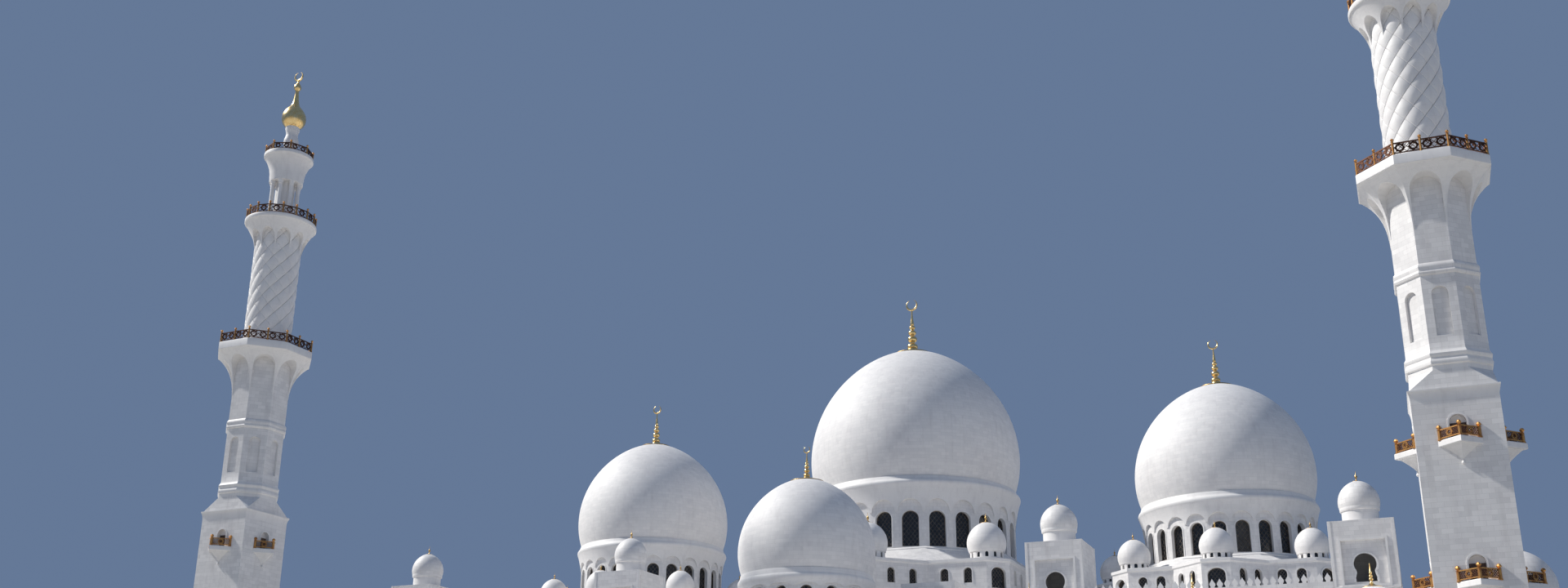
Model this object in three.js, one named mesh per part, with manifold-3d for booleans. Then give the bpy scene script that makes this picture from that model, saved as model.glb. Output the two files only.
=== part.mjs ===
// A white marble mosque prayer hall with four onion-shaped domes, a domed gallery along its front
// and two tall minarets, as a 1:10 scale model. Lengths are model millimetres and +Z points up.
// The front faces -Y. The main dome stands over the middle of the hall.
import * as THREE from "three";
import { ConvexGeometry } from "three/addons/geometries/ConvexGeometry.js";
import { mergeVertices } from "three/addons/utils/BufferGeometryUtils.js";
import Module from "manifold-3d";

const wasm = await Module();
wasm.setup();

// Scale and clearances
const METRE = 100; // one metre of the real building on the 1:10 model
const SEAT = 0.3; // clearance between pieces that rest on each other
const PAST = 0.5 * METRE; // how far a cutter runs past the face that it cuts
const EIGHTH = Math.PI / 4;

// Heights of the storeys
const FLOOR_TOP = 0.5 * METRE;
const GALLERY_ROOF = { bottom: 16.2 * METRE, top: 17.0 * METRE, parapet: 17.9 * METRE };
const HALL_ROOF = { bottom: 25.6 * METRE, top: 26.4 * METRE, parapet: 27.4 * METRE };
const PARAPET_THICK = 0.5 * METRE;

// Prayer hall
const HALL = { halfX: 69.2 * METRE, halfY: 39.75 * METRE, wall: 1.2 * METRE };
const HALL_DOOR = { width: 4.4 * METRE, spring: 6.2 * METRE, rise: 2.4 * METRE };
const HALL_WINDOW = { width: 3.4 * METRE, sill: 12.0 * METRE, spring: 18.5 * METRE, rise: 1.9 * METRE };

// Gallery in front of the hall, one arched bay after another
const BAY = 16.65 * METRE; // from one gallery dome to the next
const GALLERY = { halfX: 84.9 * METRE, front: -68.9 * METRE, wall: 1.0 * METRE };
const GALLERY_ARCH = { width: 5.6 * METRE, spring: 8.4 * METRE, rise: 3.2 * METRE };
const GALLERY_DOME = { radius: 3.6 * METRE, y: -63.6 * METRE, perSide: 4 };
const GALLERY_BAND = 0.95 * METRE; // low round wall under each dome of the gallery
const PAVILION = { x: 79.9 * METRE, y: -52 * METRE, half: 4.5 * METRE, top: 21.6 * METRE, dome: 3.5 * METRE };

// Big domes: place, radius at the widest, foot of the dome, and the size of the base under it
const MAIN = {
  name: "main", x: 0, y: 0, radius: 16.5 * METRE, foot: 50.1 * METRE, baseTop: 36.5 * METRE,
  sill: 39.6 * METRE, spring: 43.7 * METRE, windowWidth: 2.5 * METRE, windows: 24,
  starFace: 25.0 * METRE, turret: 22.0 * METRE, turretDome: 2.8 * METRE, turretBand: 1.6 * METRE,
  finial: 9.6 * METRE,
};
const RIGHT = {
  name: "right", x: 47.1 * METRE, y: 0, radius: 12.64 * METRE, foot: 44.8 * METRE, baseTop: 34.4 * METRE,
  sill: 36.3 * METRE, spring: 39.8 * METRE, windowWidth: 1.9 * METRE, windows: 24,
  starFace: 19.0 * METRE, turret: 16.5 * METRE, turretDome: 2.15 * METRE, turretBand: 1.5 * METRE,
  finial: 7.4 * METRE,
};
const LEFT = { ...RIGHT, name: "left", x: -RIGHT.x };
const ENTRANCE = {
  name: "entrance", x: 0, y: -44.6 * METRE, radius: 8.78 * METRE, foot: 30.7 * METRE, baseTop: 24.0 * METRE,
  sill: 25.7 * METRE, spring: 27.8 * METRE, windowWidth: 1.6 * METRE, windows: 16, finial: 4.5 * METRE,
};
const DOME_BELLY = 0.34; // height of the widest ring above the foot, as a share of the radius
const DOME_RISE = 1.12; // height of the top above the widest ring, as a share of the radius
const DOME_POINT = 1.15; // how early the dome closes above its widest ring: 1 would be an ellipse
const DRUM_SHARE = 0.925; // drum radius as a share of the dome's
const LIP_SHARE = 0.985; // radius of the ledge under the dome
const SHELL_SHARE = 0.94; // inside of the dome shell

// Star-shaped bases: eight points, each cut off by a flat face with a large window
const STAR = { faceHalf: 1.85 * METRE, wall: 0.8 * METRE, slab: 0.6 * METRE };
const STAR_LARGE = { width: 2.3 * METRE, below: 4.2 * METRE, spring: 2.0 * METRE, rise: 0.95 * METRE };
const STAR_SMALL = { width: 1.2 * METRE, below: 3.4 * METRE, spring: 1.55 * METRE, rise: 0.6 * METRE };

// Entrance block under the entrance dome
const BLOCK = { halfX: 12.5 * METRE, front: -57.2 * METRE, wall: 1.0 * METRE };
const BLOCK_WINDOW = { width: 1.9 * METRE, sill: 1.6 * METRE, spring: 3.6 * METRE, rise: 0.95 * METRE };

// Portal towers on the front of the roof
const TOWER = { halfX: 3.5 * METRE, depth: 7.5 * METRE, top: 34.2 * METRE, wall: 0.9 * METRE,
  dome: 2.3 * METRE, band: 1.95 * METRE };
const TOWER_PLACES = { outer: 65.65 * METRE, inner: 30.6 * METRE };
const TOWER_PANEL = { halfX: 2.5 * METRE, bottom: 26.9 * METRE, top: 31.9 * METRE, deep: 0.25 * METRE };
const KEYHOLE = { foot: 1.2 * METRE, neck: 1.05 * METRE, belly: 1.3 * METRE, sill: 27.2 * METRE,
  straight: 27.7 * METRE, narrow: 28.4 * METRE, wide: 29.2 * METRE };

// Plain raised blocks on the front edge of the roof, one on each side of the entrance dome
const RAISED = { inner: 10.9 * METRE, outer: 18.0 * METRE, top: 30.0 * METRE };

// Minarets
const MINARET = { x: 75.8 * METRE, y: -63.6 * METRE, bore: 2.4 * METRE };
const SQUARE = { half: 3.85 * METRE, cornice: 39.7 * METRE, top: 40.9 * METRE, ledge: 0.18 * METRE };
const OCTAGON = { half: 3.7 * METRE, foot: 42.8 * METRE, corbel: 56.8 * METRE, slab: 63.8 * METRE,
  top: 64.5 * METRE };
const BALCONY_1 = { half: 6.2 * METRE, rail: 1.8 * METRE };
const BALCONY_2 = { radius: 5.0 * METRE, corbel: 79.2 * METRE, slab: 83.6 * METRE, top: 84.2 * METRE,
  rail: 1.8 * METRE };
const BALCONY_3 = { radius: 3.5 * METRE, slab: 94.4 * METRE, top: 95.0 * METRE, rail: 1.5 * METRE };
const ROUND_SHAFT = 3.2 * METRE;
const LANTERN = { core: 1.35 * METRE, columns: 1.9 * METRE, column: 0.42 * METRE, top: 91.4 * METRE };
const RAIL_THICK = 0.25 * METRE;
const PROW = { half: 1.9 * METRE, reach: 1.9 * METRE, slab: 0.6 * METRE, rail: 1.3 * METRE,
  corbel: 1.5 * METRE, corbelShare: 0.75 };
const PROW_ROWS = [21.9 * METRE, 35.2 * METRE]; // undersides of the small corner balconies
const PROW_DOOR = { width: 1.5 * METRE, spring: 1.7 * METRE, rise: 0.75 * METRE };

// The part's origin is under the middle of its plan
const FRONT_EDGE = MINARET.y - BALCONY_1.half;
const BACK_EDGE = HALL.halfY;
const MIDDLE_Y = (FRONT_EDGE + BACK_EDGE) / 2;

// Materials
const marble = new THREE.MeshStandardMaterial({ color: 0xe9e7e4, roughness: 0.5, metalness: 0 });
const gold = new THREE.MeshStandardMaterial({ color: 0xb98a3a, roughness: 0.3, metalness: 1 });
const bronze = new THREE.MeshStandardMaterial({ color: 0x8a5a2c, roughness: 0.45, metalness: 0.9 });
const paving = new THREE.MeshStandardMaterial({ color: 0xd8d5d0, roughness: 0.6, metalness: 0 });

// Solids from three.js geometry
function solidOf(geometry) {
  const bare = geometry.clone();
  bare.deleteAttribute("normal");
  bare.deleteAttribute("uv");
  const merged = mergeVertices(bare, 1e-3);
  return new wasm.Manifold(
    new wasm.Mesh({
      numProp: 3,
      vertProperties: new Float32Array(merged.attributes.position.array),
      triVerts: new Uint32Array(merged.index.array),
    }),
  );
}

function join(solids) {
  return wasm.Manifold.union(solids);
}

function box(x0, x1, y0, y1, z0, z1) {
  const g = new THREE.BoxGeometry(x1 - x0, y1 - y0, z1 - z0);
  g.translate((x0 + x1) / 2, (y0 + y1) / 2, (z0 + z1) / 2);
  return solidOf(g);
}

// An upright prism on a plan outline.
function prism(outline, z0, z1) {
  const shape = new THREE.Shape(outline.map(([x, y]) => new THREE.Vector2(x, y)));
  const g = new THREE.ExtrudeGeometry(shape, { depth: z1 - z0, bevelEnabled: false });
  g.translate(0, 0, z0);
  return solidOf(g);
}

// A body turned about the Z axis. Its flat facets are centred on the X axis.
function turned(profile, sides) {
  const points = profile.map(([r, z]) => new THREE.Vector2(r, z));
  const g = new THREE.LatheGeometry(points, sides, Math.PI / sides);
  g.rotateX(Math.PI / 2);
  return solidOf(g);
}

// Radius to the corners of a regular outline whose facets lie at the given distance.
function cornerRadius(faceDistance, sides) {
  return faceDistance / Math.cos(Math.PI / sides);
}

// An arched cutter that faces -Y, with its front at y = 0 and its axis at x = 0.
function archOutline(width, sill, spring, rise, steps) {
  const right = [];
  for (let i = 0; i < steps; i++) {
    const t = (i / steps) * (Math.PI / 2);
    right.push([(width / 2) * Math.cos(t), spring + rise * Math.sin(t)]);
  }
  const left = right.map(([x, z]) => [-x, z]).reverse();
  return [[-width / 2, sill], [width / 2, sill], ...right, [0, spring + rise], ...left];
}

function upright(outline, front, back) {
  const shape = new THREE.Shape(outline.map(([x, z]) => new THREE.Vector2(x, z)));
  const g = new THREE.ExtrudeGeometry(shape, { depth: back - front, bevelEnabled: false });
  g.rotateX(Math.PI / 2);
  g.translate(0, back, 0);
  return solidOf(g);
}

// A cutter or piece that faces -Y, turned to face the given direction.
function facing(solid, angle) {
  return solid.rotate([0, 0, THREE.MathUtils.radToDeg(angle) + 90]);
}

const pieces = new THREE.Group();

// The part of a solid that stands on a rectangle of the plan.
function cutTo(solid, x0, x1, y0, y1) {
  return solid.intersect(box(x0, x1, y0, y1, -PAST, RAISED.top + PAST));
}

function addPiece(name, solid, material) {
  const mesh = solid.getMesh();
  const g = new THREE.BufferGeometry();
  g.setAttribute("position", new THREE.BufferAttribute(mesh.vertProperties, 3));
  g.setIndex(new THREE.BufferAttribute(mesh.triVerts, 1));
  g.computeVertexNormals();
  const piece = new THREE.Mesh(g, material);
  piece.name = name;
  pieces.add(piece);
}

// Dome outline from its foot to its top, at a share of its full size
function domeProfile(radius, foot, share, rows) {
  const points = [];
  const lowest = -Math.asin(DOME_BELLY);
  for (let i = 0; i <= rows; i++) {
    const t = lowest + (i / rows) * (Math.PI / 2 - lowest);
    const height = t < 0 ? Math.sin(t) : DOME_RISE * Math.sin(t);
    const width = t < 0 ? Math.cos(t) : Math.cos(t) ** DOME_POINT;
    const r = i === rows ? 0 : radius * share * width;
    points.push([r, foot + radius * (DOME_BELLY + share * height)]);
  }
  return points;
}

function smallDome(x, y, base, radius, sides, bandHeight) {
  const foot = base + bandHeight;
  const dome = domeProfile(radius, foot, 1, 4);
  const band = 0.9 * radius;
  const profile = [[0, base - SEAT], [band, base - SEAT], [band, foot], ...dome];
  return turned(profile, sides).translate([x, y, 0]);
}

// Plan of a star base: eight cut-off points and eight re-entrant corners
function starOutline(face, faceHalf) {
  const inner = ((face + faceHalf) * Math.cos(Math.PI / 4)) / Math.cos(Math.PI / 8);
  const outline = [];
  for (let k = 0; k < 8; k++) {
    const a = k * EIGHTH;
    const along = [Math.cos(a), Math.sin(a)];
    const across = [-Math.sin(a), Math.cos(a)];
    for (const side of [-1, 1]) {
      outline.push([
        face * along[0] + side * faceHalf * across[0],
        face * along[1] + side * faceHalf * across[1],
      ]);
    }
    outline.push([inner * Math.cos(a + EIGHTH / 2), inner * Math.sin(a + EIGHTH / 2)]);
  }
  return outline;
}

function drumBore(d) {
  return DRUM_SHARE * d.radius - 0.9 * METRE;
}

// Corner radius of the octagonal foot of a drum's skirt
function skirtCorner(d) {
  if (!d.turret) return BLOCK.halfX - 1.2 * METRE;
  const reentrant = 0.7654 * (d.starFace + STAR.faceHalf) - 0.1 * METRE;
  const betweenTurrets = cornerRadius(2 * d.turret - d.starFace, 8);
  return Math.min(reentrant, betweenTurrets);
}

// Walls of a star base, with a large window in each point and two small ones in each side
function starBase(d) {
  const face = d.starFace;
  const bottom = HALL_ROOF.top + SEAT;
  const top = d.baseTop - STAR.slab - SEAT;
  const outside = prism(starOutline(face, STAR.faceHalf), bottom, top);
  const innerHalf = STAR.faceHalf - STAR.wall * Math.tan(Math.PI / 8);
  const inside = prism(starOutline(face - STAR.wall, innerHalf), bottom - PAST, top + PAST);
  const cutters = [inside];
  const reach = STAR.wall + PAST;
  for (let k = 0; k < 8; k++) {
    const a = k * EIGHTH;
    const sill = d.baseTop - STAR_LARGE.below;
    const large = archOutline(STAR_LARGE.width, sill, sill + STAR_LARGE.spring, STAR_LARGE.rise, 2);
    cutters.push(facing(upright(large, -face - PAST, -face + reach), a));
    // Two small windows in the wall on each side of the point
    const inner = 0.7654 * (face + STAR.faceHalf);
    const length = (inner * Math.sin(EIGHTH / 2) - STAR.faceHalf) * Math.SQRT2;
    for (const side of [-1, 1]) {
      for (const share of [0.32, 0.72]) {
        const low = d.baseTop - STAR_SMALL.below;
        const small = archOutline(STAR_SMALL.width, low, low + STAR_SMALL.spring, STAR_SMALL.rise, 1);
        const along = (share * length) / Math.SQRT2;
        const cut = upright(small, -PAST, reach)
          .rotate([0, 0, side * 45])
          .translate([side * (STAR.faceHalf + along), -face + along, 0]);
        cutters.push(facing(cut, a));
      }
    }
  }
  return outside.subtract(join(cutters)).translate([d.x, d.y, 0]);
}

// Flat roof of a star base: a slab with a well under the drum and a small dome on each point
function starTerrace(d) {
  const bottom = d.baseTop - STAR.slab;
  const slab = prism(starOutline(d.starFace, STAR.faceHalf), bottom, d.baseTop);
  const bore = drumBore(d);
  const above = d.baseTop + PAST;
  const well = turned([[0, bottom - PAST], [bore, bottom - PAST], [bore, above], [0, above]], 24);
  const domes = [];
  for (let k = 0; k < 8; k++) {
    const a = k * EIGHTH;
    const [x, y] = [d.turret * Math.cos(a), d.turret * Math.sin(a)];
    domes.push(smallDome(x, y, d.baseTop, d.turretDome, 8, d.turretBand));
  }
  return join([slab.subtract(well), ...domes]).translate([d.x, d.y, 0]);
}

// Drum with its sloped octagonal skirt, its ring of windows and the ledge under the dome
function drum(d) {
  const bottom = d.baseTop + SEAT;
  const wall = cornerRadius(DRUM_SHARE * d.radius, d.windows);
  const lip = LIP_SHARE * d.radius;
  const windowTop = d.spring + d.windowWidth / 2;
  const skirtTop = d.sill - 0.5 * METRE;
  const coveTop = d.foot - 1.4 * METRE;
  const body = turned(
    [
      [0, bottom],
      [wall, bottom],
      [wall, windowTop + 0.5 * METRE],
      [wall + 0.25 * (lip - wall), (windowTop + coveTop) / 2],
      [lip, coveTop],
      [lip, coveTop + 0.7 * METRE],
      [0.955 * d.radius, d.foot - SEAT],
      [0, d.foot - SEAT],
    ],
    d.windows,
  );
  const skirt = turned(
    [
      [0, bottom],
      [skirtCorner(d), bottom],
      [cornerRadius(DRUM_SHARE * d.radius + 0.5 * METRE, 8), skirtTop],
      [0, skirtTop],
    ],
    8,
  );
  const bore = turned(
    [[0, bottom - PAST], [drumBore(d), bottom - PAST], [drumBore(d), d.foot + PAST], [0, d.foot + PAST]],
    d.windows,
  );
  const cutters = [bore];
  const outline = archOutline(d.windowWidth, d.sill, d.spring, d.windowWidth / 2, 2);
  const cutter = upright(outline, -d.radius - PAST, -drumBore(d) + PAST);
  for (let k = 0; k < d.windows; k++) {
    cutters.push(facing(cutter, (k * 2 * Math.PI) / d.windows));
  }
  return join([body, skirt]).subtract(join(cutters)).translate([d.x, d.y, 0]);
}

function domeShell(d, sides, rows) {
  const outer = domeProfile(d.radius, d.foot, 1, rows);
  const inner = domeProfile(d.radius, d.foot, SHELL_SHARE, 3);
  const mouth = inner[0][0] * 0.98;
  const inside = [[0, d.foot - PAST], [mouth, d.foot - PAST], [mouth, d.foot + 1], ...inner.slice(1)];
  const solid = turned([[0, d.foot], ...outer], sides);
  return solid.subtract(turned(inside, 8)).translate([d.x, d.y, 0]);
}

// Gold finial: a shallow plate, a bell, shrinking bulbs, a spike and a crescent ring
function finial(x, y, base, height, sides) {
  const h = height;
  const profile = [
    [0, 0], [0.28, 0], [0.12, 0.06], [0.04, 0.2], [0.085, 0.27], [0.035, 0.33], [0.07, 0.39], [0.03, 0.45],
    [0.055, 0.5], [0.02, 0.57], [0.012, 0.84], [0, 0.845],
  ].map(([r, z]) => [r * h, z * h]);
  const stem = turned(profile, sides);
  const ring = new THREE.TorusGeometry(0.075 * h, 0.014 * h, 4, 8);
  ring.rotateX(Math.PI / 2);
  ring.translate(0, 0, 0.911 * h);
  return join([stem, solidOf(ring)]).translate([x, y, base]);
}

function addDome(d, sides, rows) {
  addPiece(`${d.name}_drum`, drum(d), marble);
  addPiece(`${d.name}_dome`, domeShell(d, sides, rows), marble);
  const top = d.foot + d.radius * (DOME_BELLY + DOME_RISE);
  addPiece(`${d.name}_finial`, finial(d.x, d.y, top + SEAT, d.finial, 8), gold);
}

// Prayer hall: floor, four walls and the flat roof with its parapet
const { halfX, halfY, wall: hallWall } = HALL;
addPiece("hall_floor", box(-halfX, halfX, -halfY, halfY, 0, FLOOR_TOP), paving);

function hallWallWith(openings, x0, x1, y0, y1) {
  return box(x0, x1, y0, y1, FLOOR_TOP + SEAT, HALL_ROOF.bottom - SEAT).subtract(join(openings));
}

function rowOfCutters(outline, places, angle, distance) {
  return places.map((place) =>
    facing(upright(outline, -distance - PAST, -distance + hallWall + PAST).translate([place, 0, 0]), angle),
  );
}

const doorOutline = archOutline(HALL_DOOR.width, FLOOR_TOP, HALL_DOOR.spring, HALL_DOOR.rise, 3);
const pane = HALL_WINDOW;
const windowOutline = archOutline(pane.width, pane.sill, pane.spring, pane.rise, 2);
const longPlaces = [-3, -2, -1, 0, 1, 2, 3].map((k) => k * BAY);
const shortPlaces = [-1.5, -0.5, 0.5, 1.5].map((k) => k * BAY);
const doorPlaces = [-2, 0, 2].map((k) => k * BAY);
const front = -Math.PI / 2;
// The entrance dome straddles the front wall, so its skirt is let into the wall's top and the roof
const skirtFace = skirtCorner(ENTRANCE) * Math.cos(Math.PI / 8) + SEAT;
const entranceNotch = box(
  -skirtFace, skirtFace, -halfY - PAST, ENTRANCE.y + skirtFace, ENTRANCE.baseTop, HALL_ROOF.parapet + PAST,
);
addPiece(
  "hall_front_wall",
  hallWallWith(
    [...rowOfCutters(doorOutline, doorPlaces, front, halfY), entranceNotch],
    -halfX, halfX, -halfY, -halfY + hallWall,
  ),
  marble,
);
addPiece(
  "hall_back_wall",
  hallWallWith(rowOfCutters(windowOutline, longPlaces, -front, halfY), -halfX, halfX, halfY - hallWall, halfY),
  marble,
);
for (const [name, side] of [["hall_left_wall", -1], ["hall_right_wall", 1]]) {
  const angle = side < 0 ? Math.PI : 0;
  const outer = side * halfX;
  const inner = side * (halfX - hallWall);
  const y0 = -halfY + hallWall + SEAT;
  const openings = rowOfCutters(windowOutline, shortPlaces, angle, halfX);
  const wall = hallWallWith(openings, Math.min(outer, inner), Math.max(outer, inner), y0, -y0);
  addPiece(name, wall, marble);
}

function towerBox(x, clearance) {
  const wide = TOWER.halfX + clearance;
  const back = -halfY + TOWER.depth + clearance;
  return box(x - wide, x + wide, -halfY - clearance, back, HALL_ROOF.top, TOWER.top);
}

const towerXs = [-TOWER_PLACES.outer, -TOWER_PLACES.inner, TOWER_PLACES.inner, TOWER_PLACES.outer];
const bigDomes = [MAIN, LEFT, RIGHT];
{
  const slab = box(-halfX, halfX, -halfY, halfY, HALL_ROOF.bottom, HALL_ROOF.parapet);
  const t = PARAPET_THICK;
  const above = HALL_ROOF.parapet + PAST;
  const terrace = box(-halfX + t, halfX - t, -halfY + t, halfY - t, HALL_ROOF.top, above);
  const under = HALL_ROOF.bottom - PAST;
  const wells = bigDomes.map((d) => {
    const bore = drumBore(d);
    return turned([[0, under], [bore, under], [bore, above], [0, above]], 24).translate([d.x, d.y, 0]);
  });
  const towerSeats = towerXs.map((x) => towerBox(x, SEAT));
  // Strips of roof along the front edge, one on each side of the entrance dome
  const behind = ENTRANCE.y + skirtFace;
  const raised = [-1, 1].map((side) => {
    const ends = [side * RAISED.inner, side * RAISED.outer];
    return box(Math.min(...ends), Math.max(...ends), -halfY, behind - SEAT, HALL_ROOF.bottom, RAISED.top);
  });
  const whole = join([slab.subtract(join([terrace, ...wells, ...towerSeats])), ...raised]);
  addPiece("hall_roof", cutTo(whole, -halfX, halfX, behind, halfY), marble);
  addPiece("left_front_roof", cutTo(whole, -halfX, -skirtFace, -halfY, behind - SEAT), marble);
  addPiece("right_front_roof", cutTo(whole, skirtFace, halfX, -halfY, behind - SEAT), marble);
}

// Big domes
for (const d of bigDomes) {
  addPiece(`${d.name}_star_base`, starBase(d), marble);
  addPiece(`${d.name}_terrace`, starTerrace(d), marble);
  addDome(d, 24, 8);
}
addDome(ENTRANCE, 24, 6);

// Portal towers: a hollow block with a sunk panel, a keyhole arch in its front and a small dome
function tower(x) {
  const y0 = -halfY;
  const y1 = y0 + TOWER.depth;
  const bottom = HALL_ROOF.top + SEAT;
  const w = TOWER.halfX;
  const t = TOWER.wall;
  const block = box(-w, w, y0, y1, bottom, TOWER.top);
  const hollow = box(-w + t, w - t, y0 + t, y1 - t, bottom - PAST, TOWER.top - t);
  const p = TOWER_PANEL;
  const panel = box(-p.halfX, p.halfX, y0 - PAST, y0 + p.deep, p.bottom, p.top);
  const k = KEYHOLE;
  const rightSide = [
    [k.foot, k.sill], [k.foot, k.straight], [k.neck, k.narrow], [k.belly, k.wide],
    [k.belly * Math.cos(EIGHTH), k.wide + k.belly * Math.sin(EIGHTH)],
  ];
  const leftSide = rightSide.map(([px, pz]) => [-px, pz]).reverse();
  const keyhole = [...rightSide, [0, k.wide + k.belly], ...leftSide];
  const arch = upright(keyhole, y0 - PAST, y0 + t + PAST);
  const dome = smallDome(0, (y0 + y1) / 2, TOWER.top, TOWER.dome, 8, TOWER.band);
  return join([block.subtract(join([hollow, panel, arch])), dome]).translate([x, 0, 0]);
}
addPiece("left_outer_tower", tower(-TOWER_PLACES.outer), marble);
addPiece("left_inner_tower", tower(-TOWER_PLACES.inner), marble);
addPiece("right_inner_tower", tower(TOWER_PLACES.inner), marble);
addPiece("right_outer_tower", tower(TOWER_PLACES.outer), marble);

// Gallery: floor, arched walls and a roof with a row of small domes
const galleryBack = -halfY - SEAT;
const galleryX = GALLERY.halfX;
const galleryWall = GALLERY.wall;
const galleryJoint = 1.75 * BAY; // joints of the long gallery, on a pier on each side of the entrance

// A piece as long as the gallery, in three lengths between its joints
function addBays(name, whole) {
  const far = GALLERY.front - PAST;
  addPiece(`left_${name}`, cutTo(whole, -galleryX, -galleryJoint - SEAT, far, 0), marble);
  addPiece(`middle_${name}`, cutTo(whole, -galleryJoint, galleryJoint, far, 0), marble);
  addPiece(`right_${name}`, cutTo(whole, galleryJoint + SEAT, galleryX, far, 0), marble);
}

addPiece("gallery_floor", box(-galleryX, galleryX, GALLERY.front, galleryBack, 0, FLOOR_TOP), paving);
{
  const face = GALLERY.front;
  const behind = face + galleryWall;
  const wall = box(-galleryX, galleryX, face, behind, FLOOR_TOP + SEAT, GALLERY_ROOF.bottom - SEAT);
  const outline = archOutline(GALLERY_ARCH.width, FLOOR_TOP, GALLERY_ARCH.spring, GALLERY_ARCH.rise, 3);
  const cutter = upright(outline, face - PAST, behind + PAST);
  const cutters = [];
  for (let k = -2 * GALLERY_DOME.perSide; k <= 2 * GALLERY_DOME.perSide; k++) {
    cutters.push(cutter.translate([(k * BAY) / 2, 0, 0]));
  }
  addBays("gallery_front_wall", wall.subtract(join(cutters)));
}
for (const [name, side] of [["gallery_left_wall", -1], ["gallery_right_wall", 1]]) {
  const outer = side * galleryX;
  const inner = side * (galleryX - galleryWall);
  const y0 = GALLERY.front + galleryWall + SEAT;
  const [x0, x1] = [Math.min(outer, inner), Math.max(outer, inner)];
  const plain = box(x0, x1, y0, galleryBack, FLOOR_TOP + SEAT, GALLERY_ROOF.bottom - SEAT);
  const outline = archOutline(GALLERY_ARCH.width, FLOOR_TOP, GALLERY_ARCH.spring, GALLERY_ARCH.rise, 3);
  const cutters = [-1, 0, 1].map((k) => {
    const y = (y0 + galleryBack) / 2 + (k * BAY) / 2;
    const across = upright(outline, -galleryWall - PAST, galleryWall + PAST).rotate([0, 0, 90]);
    return across.translate([outer, y, 0]);
  });
  addPiece(name, plain.subtract(join(cutters)), marble);
}
{
  const t = PARAPET_THICK;
  const { bottom, top, parapet } = GALLERY_ROOF;
  const slab = box(-galleryX, galleryX, GALLERY.front, galleryBack, bottom, parapet);
  const terrace = box(-galleryX + t, galleryX - t, GALLERY.front + t, galleryBack + PAST, top, parapet + PAST);
  const clear = SQUARE.half + SEAT;
  const holes = [-1, 1].map((side) => {
    const x = side * MINARET.x;
    return box(x - clear, x + clear, MINARET.y - clear, MINARET.y + clear, bottom - PAST, parapet);
  });
  const hall = BLOCK.halfX - BLOCK.wall;
  const [hallFront, hallBack] = [BLOCK.front + BLOCK.wall, galleryBack - BLOCK.wall];
  const openHall = box(-hall, hall, hallFront, hallBack, bottom - PAST, top + PAST);
  const domes = [];
  for (let k = -GALLERY_DOME.perSide; k <= GALLERY_DOME.perSide; k++) {
    domes.push(smallDome(k * BAY, GALLERY_DOME.y, GALLERY_ROOF.top, GALLERY_DOME.radius, 8, GALLERY_BAND));
  }
  addBays("gallery_roof", join([slab.subtract(join([terrace, openHall, ...holes])), ...domes]));
}

// A raised dome stands on a square block behind each minaret
for (const [name, side] of [["left_pavilion", -1], ["right_pavilion", 1]]) {
  const p = PAVILION;
  const x = side * p.x;
  const block = box(x - p.half, x + p.half, p.y - p.half, p.y + p.half, GALLERY_ROOF.top + SEAT, p.top);
  addPiece(name, join([block, smallDome(x, p.y, p.top, p.dome, 8, GALLERY_BAND)]), marble);
}

// Entrance block on the gallery roof, under the entrance dome
{
  const { halfX: w, front: y0, wall: t } = BLOCK;
  const bottom = GALLERY_ROOF.top + SEAT;
  const top = ENTRANCE.baseTop;
  const block = box(-w, w, y0, galleryBack, bottom, top);
  const hollow = box(-w + t, w - t, y0 + t, galleryBack - t, bottom - PAST, top - t);
  const bore = drumBore(ENTRANCE);
  const well = turned([[0, bottom], [bore, bottom], [bore, top + PAST], [0, top + PAST]], 16)
    .translate([ENTRANCE.x, ENTRANCE.y, 0]);
  const { width, sill, spring, rise } = BLOCK_WINDOW;
  const outline = archOutline(width, bottom + sill, bottom + spring, rise, 2);
  const cutters = [];
  for (const k of [-1.5, -0.5, 0.5, 1.5]) {
    cutters.push(upright(outline, y0 - PAST, y0 + t + PAST).translate([k * 5 * METRE, 0, 0]));
  }
  for (const side of [-1, 1]) {
    for (const k of [-1, 0, 1]) {
      const y = (y0 + galleryBack) / 2 + k * 5 * METRE;
      const across = upright(outline, -t - PAST, t + PAST).rotate([0, 0, 90]);
      cutters.push(across.translate([side * (w - t / 2), y, 0]));
    }
  }
  addPiece("entrance_block", block.subtract(join([hollow, well, ...cutters])), marble);
}

// Minarets
function octagonBody(profile) {
  return turned(profile.map(([r, z]) => [cornerRadius(r, 8), z]), 8);
}

// A small balcony whose two faces meet at a corner that points outwards, facing -Y
function prowBalcony(z) {
  const y = -SQUARE.half;
  const inside = y + 0.2 * METRE;
  const plan = [[-PROW.half, inside], [0, y - PROW.reach], [PROW.half, inside]];
  const deck = prism(plan, z, z + PROW.slab);
  const parapet = prism(plan, z + PROW.slab - 1, z + PROW.slab + PROW.rail);
  const t = RAIL_THICK;
  const roomPlan = [[-PROW.half + 2.4 * t, y + PAST], [-PROW.half + 2.4 * t, y], [0, y - PROW.reach + 1.5 * t],
    [PROW.half - 2.4 * t, y], [PROW.half - 2.4 * t, y + PAST]];
  const room = prism(roomPlan, z + PROW.slab, z + PROW.slab + PROW.rail + PAST);
  const share = PROW.corbelShare;
  const corners = plan.map(
    ([px, py]) => new THREE.Vector3(px * share, inside + (py - inside) * share, z + 1),
  );
  corners.push(new THREE.Vector3(0, y + 0.1 * METRE, z - PROW.corbel));
  const corbel = solidOf(new ConvexGeometry(corners));
  const stone = join([deck, parapet, corbel]);
  return { stone, room };
}

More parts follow.
